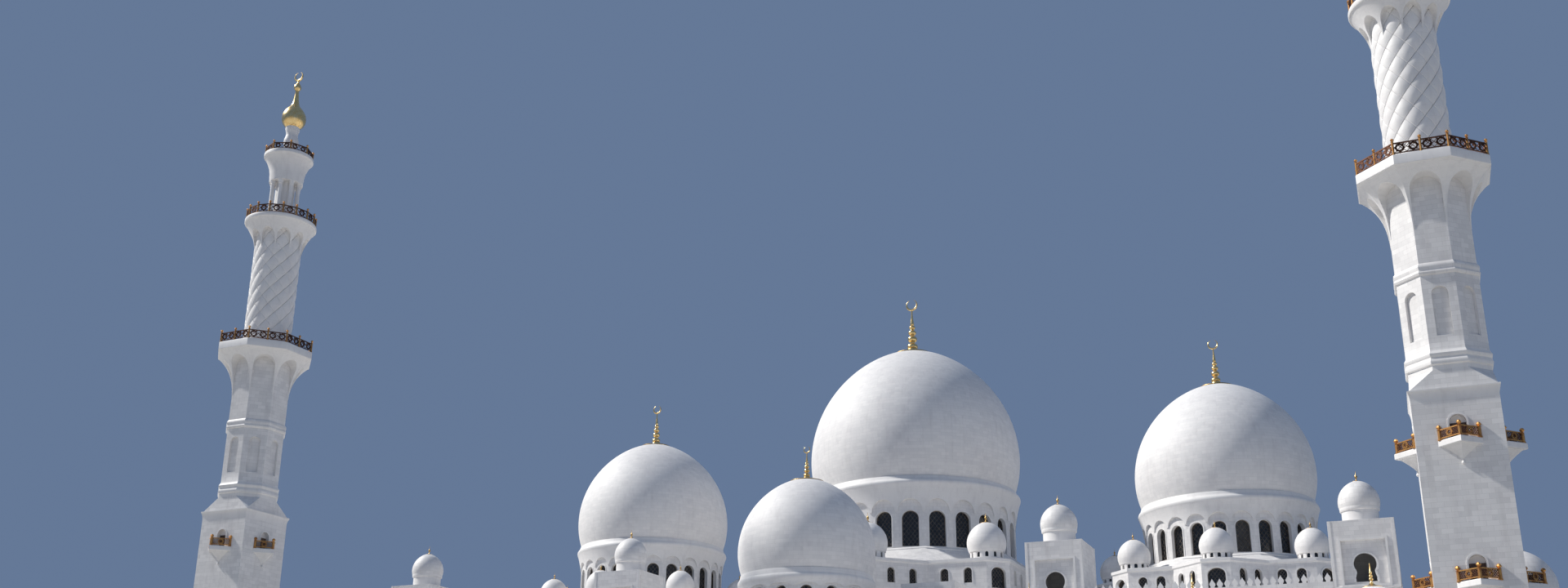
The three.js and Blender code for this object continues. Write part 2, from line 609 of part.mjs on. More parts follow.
function minaretShaft() {
  const s = SQUARE;
  const o = OCTAGON;
  const bottom = FLOOR_TOP + SEAT;
  const square = box(-s.half, s.half, -s.half, s.half, bottom, s.cornice);
  const out = s.half + s.ledge;
  const cornice = box(-out, out, -out, out, s.cornice - 1, s.top);
  const broachPoints = [];
  for (const sx of [-1, 1]) {
    for (const sy of [-1, 1]) {
      broachPoints.push(new THREE.Vector3(sx * s.half, sy * s.half, s.top - 1));
      const near = o.half * Math.tan(Math.PI / 8);
      broachPoints.push(new THREE.Vector3(sx * o.half, sy * near, o.foot + 1));
      broachPoints.push(new THREE.Vector3(sx * near, sy * o.half, o.foot + 1));
    }
  }
  const broach = solidOf(new ConvexGeometry(broachPoints));
  const m = 0.22 * METRE;
  const tower = octagonBody([
    [0, o.foot], [o.half, o.foot], [o.half, 43.3 * METRE], [o.half + m, 43.6 * METRE],
    [o.half + m, 44.4 * METRE], [o.half, 44.8 * METRE], [o.half, 52.4 * METRE], [o.half + m, 52.7 * METRE],
    [o.half + m, 53.4 * METRE],
    [o.half, 53.7 * METRE], [o.half, o.corbel], [o.half + 0.35 * METRE, 59.6 * METRE],
    [o.half + 1.1 * METRE, 62.0 * METRE], [BALCONY_1.half - 0.25 * METRE, o.slab], [BALCONY_1.half, o.slab],
    [BALCONY_1.half, o.top], [0, o.top],
  ]);
  const parts = [square, cornice, broach, tower];
  const cutters = [];
  const bore = MINARET.bore;
  const [below, above] = [bottom - PAST, o.top + PAST];
  cutters.push(turned([[0, below], [bore, below], [bore, above], [0, above]], 12));
  for (let k = 0; k < 8; k++) {
    const a = k * EIGHTH;
    const niche = archOutline(2.2 * METRE, 57.4 * METRE, 61.6 * METRE, 1.2 * METRE, 1);
    cutters.push(facing(upright(niche, -BALCONY_1.half - PAST, -o.half - 0.1 * METRE), a));
  }
  for (let k = 0; k < 4; k++) {
    const a = (k * Math.PI) / 2;
    for (const z of PROW_ROWS) {
      const { stone, room } = prowBalcony(z);
      parts.push(facing(stone, a));
      cutters.push(facing(room, a));
      const sill = z + PROW.slab;
      const door = archOutline(PROW_DOOR.width, sill, sill + PROW_DOOR.spring, PROW_DOOR.rise, 1);
      cutters.push(facing(upright(door, -s.half - PAST, -bore + PAST), a));
    }
  }
  return join(parts).subtract(join(cutters));
}

function ringSolid(outer, inner, z0, z1, sides) {
  return turned([[inner, z0], [outer, z0], [outer, z1], [inner, z1], [inner, z0]], sides);
}

function upperShaft() {
  const bottom = OCTAGON.top + SEAT;
  const b = BALCONY_2;
  const r = ROUND_SHAFT;
  const profile = [
    [0, bottom], [r + 0.2 * METRE, bottom], [r + 0.2 * METRE, bottom + 0.6 * METRE],
    [r, bottom + 0.9 * METRE], [r, b.corbel], [r + 0.25 * METRE, 80.9 * METRE], [r + 0.8 * METRE, 82.5 * METRE],
    [b.radius - 0.2 * METRE, b.slab], [b.radius, b.slab], [b.radius, b.top], [0, b.top],
  ];
  const inside = 2.2 * METRE;
  const [below, above] = [bottom - PAST, b.top + PAST];
  const bore = turned([[0, below], [inside, below], [inside, above], [0, above]], 8);
  return turned(profile, 12).subtract(bore);
}

function lantern() {
  const bottom = BALCONY_2.top + SEAT;
  const b = BALCONY_3;
  const l = LANTERN;
  const footTop = bottom + 0.9 * METRE;
  const foot = turned([[0, bottom], [2.45 * METRE, bottom], [2.45 * METRE, footTop], [0, footTop]], 8);
  const head = turned(
    [
      [0, l.top - 0.8 * METRE], [2.35 * METRE, l.top - 0.8 * METRE], [2.35 * METRE, l.top],
      [2.6 * METRE, 92.8 * METRE], [b.radius - 0.15 * METRE, b.slab], [b.radius, b.slab], [b.radius, b.top],
      [0, b.top],
    ],
    12,
  );
  const core = turned([[0, bottom + 1], [l.core, bottom + 1], [l.core, l.top], [0, l.top]], 8);
  const columns = [];
  for (let k = 0; k < 8; k++) {
    const a = k * EIGHTH + EIGHTH / 2;
    const column = turned([[0, bottom + 1], [l.column, bottom + 1], [l.column, l.top], [0, l.top]], 4);
    columns.push(column.translate([l.columns * Math.cos(a), l.columns * Math.sin(a), 0]));
  }
  return join([foot, head, core, ...columns]);
}

function minaretFinial() {
  const bottom = BALCONY_3.top + SEAT;
  const neck = turned(
    [
      [0, bottom], [1.4 * METRE, bottom], [1.4 * METRE, bottom + 0.5 * METRE],
      [0.85 * METRE, bottom + 1.1 * METRE], [1.05 * METRE, 97.4 * METRE], [0.85 * METRE, 98.7 * METRE],
      [1.0 * METRE, 99.8 * METRE],
      [1.75 * METRE, 101.4 * METRE], [1.3 * METRE, 102.8 * METRE], [0.5 * METRE, 104.0 * METRE],
      [0.22 * METRE, 106.0 * METRE], [0.55 * METRE, 106.7 * METRE], [0.12 * METRE, 107.5 * METRE],
      [0.1 * METRE, 107.8 * METRE], [0, 107.85 * METRE],
    ],
    8,
  );
  const ring = new THREE.TorusGeometry(0.75 * METRE, 0.14 * METRE, 4, 8);
  ring.rotateX(Math.PI / 2);
  ring.translate(0, 0, 108.6 * METRE);
  return join([neck, solidOf(ring)]);
}

const shaft = minaretShaft();
const upper = upperShaft();
const lanternSolid = lantern();
const minaretTop = minaretFinial();
const railOuter = BALCONY_1.half - 0.1 * METRE;
const rail1 = ringSolid(
  cornerRadius(railOuter, 8), cornerRadius(railOuter - RAIL_THICK, 8),
  OCTAGON.top + SEAT, OCTAGON.top + BALCONY_1.rail, 8,
);
const rail2 = ringSolid(
  BALCONY_2.radius - 0.1 * METRE, BALCONY_2.radius - 0.1 * METRE - RAIL_THICK,
  BALCONY_2.top + SEAT, BALCONY_2.top + BALCONY_2.rail, 12,
);
const rail3 = ringSolid(
  BALCONY_3.radius - 0.1 * METRE, BALCONY_3.radius - 0.1 * METRE - RAIL_THICK,
  BALCONY_3.top + SEAT, BALCONY_3.top + BALCONY_3.rail, 12,
);
for (const [name, side] of [["left", -1], ["right", 1]]) {
  const place = [side * MINARET.x, MINARET.y, 0];
  addPiece(`${name}_minaret_shaft`, shaft.translate(place), marble);
  addPiece(`${name}_minaret_ribbed_shaft`, upper.translate(place), marble);
  addPiece(`${name}_minaret_lantern`, lanternSolid.translate(place), marble);
  addPiece(`${name}_minaret_finial`, minaretTop.translate(place), gold);
  addPiece(`${name}_minaret_lower_rail`, rail1.translate(place), bronze);
  addPiece(`${name}_minaret_middle_rail`, rail2.translate(place), bronze);
  addPiece(`${name}_minaret_upper_rail`, rail3.translate(place), bronze);
}

pieces.position.y = -MIDDLE_Y;
export default pieces;
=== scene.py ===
# %% [markdown]
# # A white marble mosque prayer hall with domes and minarets
#
# The building is a 1:10 scale model. Its walls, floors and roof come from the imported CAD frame,
# and this lesson adds what a mason or a metal worker would add: smooth domes, deep windows with
# lattice, flared arcades under the balconies, gilded finials and bronze rails.
#
# All lengths below are real metres, because stone blocks and doors are easier to judge at full
# size. One small function turns them into the metres of the model.

# %% Load the frame
import math

import bmesh
import bpy
from mathutils import Matrix


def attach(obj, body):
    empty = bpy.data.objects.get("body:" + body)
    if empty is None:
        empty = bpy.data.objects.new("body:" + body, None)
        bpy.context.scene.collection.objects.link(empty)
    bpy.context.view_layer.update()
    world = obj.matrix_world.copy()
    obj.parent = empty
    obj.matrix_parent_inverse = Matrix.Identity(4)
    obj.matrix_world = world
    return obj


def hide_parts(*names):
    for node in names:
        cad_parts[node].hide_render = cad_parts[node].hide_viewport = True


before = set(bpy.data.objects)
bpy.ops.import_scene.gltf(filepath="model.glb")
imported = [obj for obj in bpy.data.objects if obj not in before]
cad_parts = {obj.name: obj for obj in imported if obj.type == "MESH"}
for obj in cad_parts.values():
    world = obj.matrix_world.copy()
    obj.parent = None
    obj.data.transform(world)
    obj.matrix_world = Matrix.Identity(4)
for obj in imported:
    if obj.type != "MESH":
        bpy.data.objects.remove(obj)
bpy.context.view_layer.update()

print("CAD nodes:", len(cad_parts))

# %% From real metres to model metres
MIDDLE_Y = -15.025
TURN = 2 * math.pi
EIGHTH = math.pi / 4
FRONT = -math.pi / 2
BACK = math.pi / 2
FLOOR = 0.5
GALLERY_ROOF, GALLERY_PARAPET = 17.0, 17.9
HALL_ROOF, HALL_PARAPET = 26.4, 27.4
HALL_X, HALL_Y = 69.2, 39.75
PARAPET = 0.5  # thickness of the parapets
SEAT = 0.003  # a new piece starts this far above the one that carries it
SIDES = (("left", -1), ("right", 1))


def model(x, y, z):
    """A place in real metres becomes a place in the model."""
    return (x / 10, (y - MIDDLE_Y) / 10, z / 10)


def add(name, data):
    """Puts a new object with this data into the scene."""
    thing = bpy.data.objects.new(name, data)
    bpy.context.scene.collection.objects.link(thing)
    return thing


print("the main dome stands at", model(0, 0, 50.1))

# %% [markdown]
# ## Camera
#
# The photograph looks up from the court, low and to the right of the middle. A camera has a place,
# a direction and a lens. The direction is made from three turns: left, up, and a slight lean. A
# small shift of the lens raises the frame, as an architect's camera does to keep towers upright.

# %% Camera
camera_data = bpy.data.cameras.new("court_camera")
camera_data.sensor_width = 36.0
camera_data.lens = 32.73
camera_data.shift_y = 0.05
camera_data.clip_end = 500.0
camera = add("court_camera", camera_data)
turn_left = Matrix.Rotation(math.radians(23.72), 4, "Z")
tilt_up = Matrix.Rotation(math.radians(90 + 17.38), 4, "X")
lean = Matrix.Rotation(math.radians(0.41), 4, "Z")
place = Matrix.Translation(model(69.74, -210.91, 1.53))
camera.matrix_world = place @ turn_left @ tilt_up @ lean
bpy.context.scene.camera = camera
print("camera at", [round(v, 3) for v in camera.matrix_world.translation])

# %% [markdown]
# ## Light and stage
#
# Afternoon sun comes from the upper left and only grazes the front, so left sides are brilliant,
# fronts are mid grey and right sides lie in shade. The shadows of the small balconies fall at half
# a right angle, which gives the height of the sun. A sun lamp with a wide disc makes it soft. The
# world is a plain blue that fills the shade. The plain Standard view keeps white stone truly
# white, and the floor is a plain pale disc.

# %% Sun, fill and floor
sun_data = bpy.data.lights.new("soft_sun", "SUN")
sun_data.energy = 4.5
sun_data.angle = math.radians(3.0)
sun_data.color = (1.0, 0.965, 0.91)
sun = add("soft_sun", sun_data)
to_sun = (-0.80, -0.12, 0.78)
level = math.hypot(to_sun[0], to_sun[1])
sun.rotation_euler = (math.atan2(level, to_sun[2]), 0, math.atan2(to_sun[1], to_sun[0]) + math.pi / 2)

world = bpy.data.worlds.new("studio")
world.use_nodes = True
world.node_tree.nodes["Background"].inputs["Color"].default_value = (0.13, 0.19, 0.31, 1)
world.node_tree.nodes["Background"].inputs["Strength"].default_value = 1.0
bpy.context.scene.world = world
bpy.context.scene.view_settings.view_transform = "Standard"

floor_mesh = bpy.data.meshes.new("studio_floor")
ring = [(90 * math.cos(TURN * k / 96), 90 * math.sin(TURN * k / 96), 0) for k in range(96)]
floor_mesh.from_pydata(ring, [], [range(96)])
studio_floor = add("studio_floor", floor_mesh)
floor_paint = bpy.data.materials.new("studio_floor_paint")
floor_paint.use_nodes = True
floor_paint.node_tree.nodes["Principled BSDF"].inputs["Base Color"].default_value = (0.50, 0.485, 0.455, 1)
floor_paint.node_tree.nodes["Principled BSDF"].inputs["Roughness"].default_value = 0.85
floor_mesh.materials.append(floor_paint)
print("sun towards", to_sun)

# %% [markdown]
# ## Stone finishes
#
# The walls are clad with white marble in courses of long blocks with hair-fine joints. The blocks
# differ a little in tone, and rain leaves faint grey streaks. A Brick Texture lays the courses. Its
# coordinates are real metres: new pieces carry them in a UV layer called courses, and the CAD
# walls, which have no such layer, take them from their place in the model.

# %% Coordinates in real metres
def feed(tree, node, inputs):
    """Each input takes a plain value or the output of another node."""
    for key, value in inputs.items():
        if isinstance(value, bpy.types.NodeSocket):
            tree.links.new(value, node.inputs[key])
        else:
            node.inputs[key].default_value = value


def new_node(tree, kind, inputs, **settings):
    node = tree.nodes.new(kind)
    for key, value in settings.items():
        setattr(node, key, value)
    feed(tree, node, inputs)
    return node


def maths(tree, operation, *values):
    return new_node(tree, "ShaderNodeMath", dict(enumerate(values)), operation=operation).outputs[0]


def place_in_metres(tree):
    """Where a point of the building is, in real metres."""
    where = new_node(tree, "ShaderNodeTexCoord", {}).outputs["Object"]
    return new_node(tree, "ShaderNodeVectorMath", {0: where, "Scale": 10.0}, operation="SCALE").outputs[0]


def wall_courses(tree):
    """Courses for straight walls: along and up on upright faces, along and across on flat ones."""
    x, y, z = new_node(tree, "ShaderNodeSeparateXYZ", {0: place_in_metres(tree)}).outputs
    upright = new_node(tree, "ShaderNodeCombineXYZ", {0: maths(tree, "ADD", x, y), 1: z}).outputs[0]
    lying = new_node(tree, "ShaderNodeCombineXYZ", {0: x, 1: y}).outputs[0]
    facing = new_node(tree, "ShaderNodeNewGeometry", {}).outputs["True Normal"]
    upward = new_node(tree, "ShaderNodeSeparateXYZ", {0: facing}).outputs[2]
    is_flat = maths(tree, "GREATER_THAN", maths(tree, "ABSOLUTE", upward), 0.7)
    return new_node(tree, "ShaderNodeMix", {"Factor": is_flat, 4: upright, 5: lying},
                    data_type="VECTOR").outputs[1]


print("coordinate helpers ready")

# %% A stone with courses
def shade(tree, colour, tone, factor):
    """Multiplies a colour by a darker tone where the factor is high."""
    return new_node(tree, "ShaderNodeMix", {"Factor": factor, 6: colour, 7: (*tone, 1)}, data_type="RGBA",
                    blend_type="MULTIPLY").outputs[2]


def ranged(tree, value, low, high, to_low=0.0, to_high=1.0):
    limits = {"Value": value, "From Min": low, "From Max": high, "To Min": to_low, "To Max": to_high}
    return new_node(tree, "ShaderNodeMapRange", limits).outputs[0]


def noise(tree, vector, scale, detail, stretch=None):
    if stretch:
        bend = new_node(tree, "ShaderNodeVectorMath", {0: vector, 1: stretch}, operation="MULTIPLY")
        vector = bend.outputs[0]
    inputs = {"Vector": vector, "Scale": scale, "Detail": detail}
    return new_node(tree, "ShaderNodeTexNoise", inputs).outputs[0]


def blank(name):
    """A new material with its node tree, its surface and the point's place in real metres."""
    material = bpy.data.materials.new(name)
    material.use_nodes = True
    tree = material.node_tree
    return material, tree, tree.nodes["Principled BSDF"], place_in_metres(tree)


def relief(tree, skin, height, strength):
    """Fine unevenness of the surface, two millimetres deep on the model."""
    bump = new_node(tree, "ShaderNodeBump", {"Strength": strength, "Distance": 0.002, "Height": height})
    feed(tree, skin, {"Normal": bump.outputs[0]})


def stone(name, light, dark, joint, block, row, joint_width, own_courses=True, streaks=0.5, roughness=0.56):
    material, tree, skin, metres = blank(name)
    if own_courses:
        courses = new_node(tree, "ShaderNodeUVMap", {}, uv_map="courses").outputs[0]
    else:
        courses = wall_courses(tree)
    bricks = new_node(tree, "ShaderNodeTexBrick", {
        "Vector": courses, "Color1": (*light, 1), "Color2": (*dark, 1), "Mortar": (*joint, 1),
        "Scale": 1.0, "Mortar Size": joint_width, "Mortar Smooth": 0.3, "Bias": 0.0,
        "Brick Width": block, "Row Height": row}, offset=0.5)
    clouds = ranged(tree, noise(tree, metres, 0.16, 4.0), 0.42, 0.72)
    veins = ranged(tree, noise(tree, metres, 1.3, 6.0, (1, 1, 0.45)), 0.52, 0.66)
    rain = ranged(tree, noise(tree, metres, 1.1, 3.0, (1.2, 1.2, 0.07)), 0.55, 0.8)
    colour = bricks.outputs["Color"]
    for tone, factor in ((CLOUD, clouds), (CLOUD, veins), (STREAK, maths(tree, "MULTIPLY", rain, streaks))):
        colour = shade(tree, colour, tone, factor)
    polish = maths(tree, "MULTIPLY_ADD", noise(tree, metres, 3.0, 2.0), 0.16, roughness - 0.08)
    feed(tree, skin, {"Base Color": colour, "IOR": 1.48, "Roughness": polish})
    grain = maths(tree, "MULTIPLY", noise(tree, metres, 6.0, 4.0), 0.25)
    relief(tree, skin, maths(tree, "SUBTRACT", grain, bricks.outputs["Fac"]), 0.35)
    return material


CLOUD, STREAK = (0.95, 0.945, 0.95), (0.80, 0.79, 0.78)
PALE, GREY, JOINT_GREY = (0.82, 0.805, 0.79), (0.71, 0.70, 0.69), (0.61, 0.60, 0.59)
SAND, DARK_SAND, SAND_JOINT = (0.62, 0.60, 0.575), (0.55, 0.535, 0.515), (0.34, 0.33, 0.32)
ashlar = stone("ashlar_marble", PALE, GREY, JOINT_GREY, 1.1, 0.5, 0.012)
dome_marble = stone("dome_marble", PALE, (0.755, 0.745, 0.735), (0.66, 0.65, 0.64), 1.2, 0.5, 0.010,
                    streaks=0.35, roughness=0.62)
carved_marble = stone("carved_marble", PALE, (0.78, 0.77, 0.755), (0.69, 0.68, 0.67), 2.4, 1.2, 0.008,
                      streaks=0.3)
wall_marble = stone("wall_marble", PALE, GREY, JOINT_GREY, 1.1, 0.5, 0.012, own_courses=False)
court_stone = stone("court_paving", SAND, DARK_SAND, SAND_JOINT, 1.2, 1.2, 0.02, own_courses=False,
                    streaks=0.1, roughness=0.55)
print("stones:", ashlar.name, dome_marble.name, carved_marble.name, wall_marble.name, court_stone.name)

# %% [markdown]
# ## Metal, glass and wood
#
# The finials are gilded, so they are metal with a warm colour and a slightly uneven polish. The
# rails and lattices are bronze, orange where they are rubbed and red-brown in their hollows; a dark
# copy of the bronze is partly painted shade, for the ring rails seen from below against the light.
# The panes are painted near black, as painted shade for the unlit hall behind them. The small
# balcony doors are dark wood with upright boards.

# %% Gold and bronze
def two_tones(tree, skin, factor, first, second):
    """Runs the surface colour from the first tone to the second."""
    inputs = {"Factor": factor, 6: (*first, 1), 7: (*second, 1)}
    mix = new_node(tree, "ShaderNodeMix", inputs, data_type="RGBA")
    feed(tree, skin, {"Base Color": mix.outputs[2]})


def metal(name, bright, dull, low, high, scale):
    """Metal with bright and dull patches. Low and high are the roughness of the two."""
    material, tree, skin, metres = blank(name)
    patches = ranged(tree, noise(tree, metres, scale, 4.0), 0.35, 0.7)
    two_tones(tree, skin, patches, bright, dull)
    feed(tree, skin, {"Metallic": 1.0, "Roughness": ranged(tree, patches, 0.0, 1.0, low, high)})
    relief(tree, skin, noise(tree, metres, scale * 4, 3.0), 0.25)
    return material


gold = metal("gilding", (0.95, 0.72, 0.36), (0.80, 0.54, 0.21), 0.22, 0.38, 1.6)
old_gold = metal("old_gilding", (0.66, 0.45, 0.18), (0.44, 0.28, 0.11), 0.3, 0.5, 2.0)
bronze = metal("rail_bronze", (0.72, 0.40, 0.14), (0.38, 0.17, 0.065), 0.36, 0.55, 2.2)
# The dark bronze is partly the rails' red-brown lattice and partly painted shade, darkening the ring rails
# seen from below against the light.
red_brown_bronze_and_shade = metal("red_brown_bronze_and_shade", (0.20, 0.095, 0.055), (0.085, 0.045, 0.035), 0.4, 0.6, 2.6)
lattice_bronze = metal("lattice_bronze", (0.20, 0.17, 0.14), (0.09, 0.08, 0.075), 0.45, 0.6, 2.0)
print("metals:", gold.name, old_gold.name, bronze.name, red_brown_bronze_and_shade.name, lattice_bronze.name)

# %% Glass and wood
def plain(name, first, second, roughness, scale, stretch=None, depth=0.1):
    """A surface of two close tones, which also differ a little in height."""
    material, tree, skin, metres = blank(name)
    spread = noise(tree, metres, scale, 4.0, stretch)
    two_tones(tree, skin, ranged(tree, spread, 0.35, 0.68), first, second)
    feed(tree, skin, {"Roughness": roughness})
    relief(tree, skin, spread, depth)
    return material


# The panes are near black: painted shade for the unlit rooms and niches behind them.
glass_painted_shade = plain("glass_with_painted_shade", (0.010, 0.014, 0.019), (0.022, 0.028, 0.034), 0.16, 0.7)
# Inner faces of domes, drums and star walls are painted dark: painted shade for the unlit inside.
inner_shade = plain("inner_painted_shade", (0.22, 0.185, 0.18), (0.16, 0.135, 0.14), 0.8, 1.0)
door_wood = plain("door_wood", (0.055, 0.028, 0.016), (0.10, 0.05, 0.028), 0.5, 2.5, (6, 6, 0.4), 0.3)
print("closures:", glass_painted_shade.name, inner_shade.name, door_wood.name)

# %% [markdown]
# ## Collecting faces
#
# A piece of this building is thousands of small faces. It is quickest to gather their corners in
# a list, in real metres, and to make the mesh once at the end. Each face also keeps its course
# coordinates and the number of its finish.

# %% The pile
def flat_courses(corners):
    """Course coordinates of a flat face: along it and up its slope, or x and y on a flat roof."""
    (ax, ay, az), (bx, by, bz), (cx, cy, cz) = corners[0], corners[1], corners[2]
    px, py, pz, qx, qy, qz = bx - ax, by - ay, bz - az, cx - ax, cy - ay, cz - az
    nx, ny, nz = py * qz - pz * qy, pz * qx - px * qz, px * qy - py * qx
    size = math.sqrt(nx * nx + ny * ny + nz * nz) or 1.0
    side = math.hypot(nx, ny)
    if side < 0.5 * size:
        return [(x, y) for x, y, z in corners]
    return [((y * nx - x * ny) / side, z * size / side) for x, y, z in corners]


def around(loop):
    """The neighbouring pairs of a closed row."""
    return zip(loop, loop[1:] + loop[:1])


class Pile:
    """Faces of one piece in real metres, until it is made into an object."""

    def __init__(self):
        self.points = []
        self.faces = []
        self.courses = []
        self.finishes = []

    def face(self, corners, finish=0, courses=None):
        start = len(self.points)
        self.points.extend(corners)
        self.faces.append(range(start, start + len(corners)))
        self.courses.extend(courses or flat_courses(corners))
        self.finishes.append(finish)

    def columns(self, columns, finish=0):
        """Joins neighbouring columns of points with four-sided faces."""
        for left, right in zip(columns, columns[1:]):
            for j in range(len(left) - 1):
                self.face([left[j], right[j], right[j + 1], left[j + 1]], finish)

    def rings(self, rings, finish=0):
        """Joins neighbouring closed rows of points, from the bottom up."""
        for low, high in zip(rings, rings[1:]):
            for (a, d), (b, c) in around(list(zip(low, high))):
                self.face([a, b, c, d], finish)


print("a pile holds points, faces, courses and finishes")

# %% From pile to piece
triangles = {}


def make(name, pile, finishes, nodes=(), crease=32.0):
    mesh = bpy.data.meshes.new(name)
    mesh.from_pydata([model(*p) for p in pile.points], [], pile.faces)
    layer = mesh.uv_layers.new(name="courses")
    layer.data.foreach_set("uv", [c for pair in pile.courses for c in pair])
    mesh.polygons.foreach_set("material_index", pile.finishes)
    for finish in finishes:
        mesh.materials.append(finish)
    welded = bmesh.new()
    welded.from_mesh(mesh)
    bmesh.ops.remove_doubles(welded, verts=welded.verts, dist=0.00004)
    welded.to_mesh(mesh)
    welded.free()
    mesh.shade_smooth()
    mesh.set_sharp_from_angle(angle=math.radians(crease))
    piece = add(name, mesh)
    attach(piece, "root")
    if nodes:
        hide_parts(*nodes)
    triangles[name] = sum(len(p.vertices) - 2 for p in mesh.polygons)
    return piece


def tell(title, *words):
    """Prints how many triangles the pieces have whose names hold one of the words."""
    print(title + ":", {k: v for k, v in triangles.items() if any(word in k for word in words)})


print("make() welds the corners, shades the piece and rides it on the building")

# %% [markdown]
# ## Turned work
#
# Domes, mouldings, columns and finials are all turned about an upright axis, like wood on a lathe.
# The profile runs from the bottom up on the outside. Its length is kept as the height of the
# courses, so that the joints follow the curve of a dome.

# %% Lathe
def turned(pile, x, y, profile, sides, finish=0, start=0.0):
    run = [0.0]
    for (r0, z0), (r1, z1) in zip(profile, profile[1:]):
        run.append(run[-1] + math.hypot(r1 - r0, z1 - z0))
    wide = max(r for r, z in profile)
    rim = [(math.cos(start + TURN * k / sides), math.sin(start + TURN * k / sides)) for k in range(sides + 1)]
    for i in range(len(profile) - 1):
        (r0, z0), (r1, z1) = profile[i], profile[i + 1]
        for k in range(sides):
            (c0, s0), (c1, s1) = rim[k], rim[k + 1]
            u0, u1 = wide * TURN * k / sides, wide * TURN * (k + 1) / sides
            corners = [(x + r0 * c0, y + r0 * s0, z0), (x + r0 * c1, y + r0 * s1, z0),
                       (x + r1 * c1, y + r1 * s1, z1), (x + r1 * c0, y + r1 * s0, z1)]
            courses = [(u0, run[i]), (u1, run[i]), (u1, run[i + 1]), (u0, run[i + 1])]
            keep = [0, 1, 2, 3]
            if r0 < 1e-6:
                keep = [0, 2, 3]
            elif r1 < 1e-6:
                keep = [0, 1, 2]
            pile.face([corners[j] for j in keep], finish, [courses[j] for j in keep])


def ladder(low, high, steps):
    return [low + (high - low) * j / steps for j in range(steps + 1)]


def octagon(face):
    """Corner radius of an eight-sided body whose faces lie at the given distance."""
    return face / math.cos(math.pi / 8)


def eight_sided(pile, x, y, profile, finish=0):
    """A turned body with eight flat faces, whose distances the profile gives."""
    turned(pile, x, y, [(octagon(r), z) for r, z in profile], 8, finish, math.pi / 8)


print("corner radius of the minaret's octagon:", round(octagon(3.7), 3))

# %% The dome curve
BELLY = 0.34
RISE = 1.12
POINT = 1.15


def dome_curve(radius, foot, share, rows, belly=BELLY):
    """An onion-shaped dome swells a little above its foot, then closes to a soft point."""
    low = -math.asin(belly)
    curve = []
    for t in ladder(low, math.pi / 2, rows):
        height = math.sin(t) if t < 0 else RISE * math.sin(t)
        r = 0.0 if t > 1.5707 else radius * share * math.cos(t) ** (1.0 if t < 0 else POINT)
        curve.append((r, foot + radius * (belly + share * height)))
    return curve


def drop_at(radius, reach):
    """How far below its top a dome's surface is, at a distance from its axis."""
    return RISE * radius * (1 - math.sqrt(1 - (reach / radius) ** (2 / POINT)))


print("main dome top:", round(dome_curve(16.5, 50.1, 1, 8)[-1][1], 2))

# %% [markdown]
# ## Walls with arched holes
#
# A window wall is drawn flat: across, up and outwards. A small function then puts the drawing on
# the building. A hole is kept as half of its outline, from the sill to the crown, because every
# arch here is the same on both sides. The wall around it is laid in strips at the outline's levels.

# %% Placing a flat drawing
def wall_at(x, y, angle, distance=0.0):
    """A wall that faces the given angle. Across runs to the right as seen from outside."""
    c, s = math.cos(angle), math.sin(angle)

    def at(u, v, r):
        return (x + c * (distance + r) - s * u, y + s * (distance + r) + c * u, v)

    return at


def side_wall(sign, distance, y=0.0):
    """A wall on the right (sign 1) or on the left (sign -1), at a distance from the middle."""
    return wall_at(sign * distance, y, 0 if sign > 0 else math.pi)


def round_at(x, y, angle):
    """A curved wall, where across runs round the axis and outwards is the radius."""
    def at(u, v, r):
        a = angle + u / r
        return (x + r * math.cos(a), y + r * math.sin(a), v)

    return at


def arch(centre, width, sill, spring, rise, steps=9):
    half = [(width / 2, sill)]
    for t in ladder(0, math.pi / 2, steps):
        half.append((width / 2 * math.cos(t), spring + rise * math.sin(t)))
    half[-1] = (0.0, spring + rise)
    return centre, half


def outline(hole):
    """Clockwise as seen from outside: up the left side, over the crown and down the right side."""
    centre, half = hole
    return [(centre - u, v) for u, v in half] + [(centre + u, v) for u, v in reversed(half[:-1])]


print("points round a window:", len(outline(arch(0, 2.5, 39.6, 43.7, 1.25))))

# %% Pierced walls and their reveals
def pierced(pile, at, left, right, low, high, holes, r=0.0, inside=False, finish=0):
    def patch(corners):
        placed = [at(u, v, r) for u, v in corners]
        pile.face(placed[::-1] if inside else placed, finish)

    edges = [left] + [(a[0] + b[0]) / 2 for a, b in zip(holes, holes[1:])] + [right]
    for (centre, half), u0, u1 in zip(holes, edges, edges[1:]):
        sill, crown = half[0][1], half[-1][1]
        patch([(u0, low), (u1, low), (u1, sill), (u0, sill)])
        patch([(u0, crown), (u1, crown), (u1, high), (u0, high)])
        for (a, va), (b, vb) in zip(half, half[1:]):
            if vb - va > 1e-6:
                patch([(u0, va), (centre - a, va), (centre - b, vb), (u0, vb)])
                patch([(centre + a, va), (u1, va), (u1, vb), (centre + b, vb)])


def reveal(pile, at, hole, front, back, finish):
    """The thickness of the wall, seen inside the hole."""
    for (u0, v0), (u1, v1) in around(outline(hole)):
        pile.face([at(u0, v0, front), at(u0, v0, back), at(u1, v1, back), at(u1, v1, front)], finish)


def slab(pile, at, loop, back, front, finish):
    """A flat plate with the given outline, counter-clockwise as seen from outside."""
    lower, upper = ([at(u, v, r) for u, v in loop] for r in (back, front))
    pile.face(upper, finish)
    pile.face(lower[::-1], finish)
    pile.rings([lower, upper], finish)


def block(pile, at, u0, u1, v0, v1, back, front, finish=0):
    slab(pile, at, [(u0, v0), (u1, v0), (u1, v1), (u0, v1)], back, front, finish)


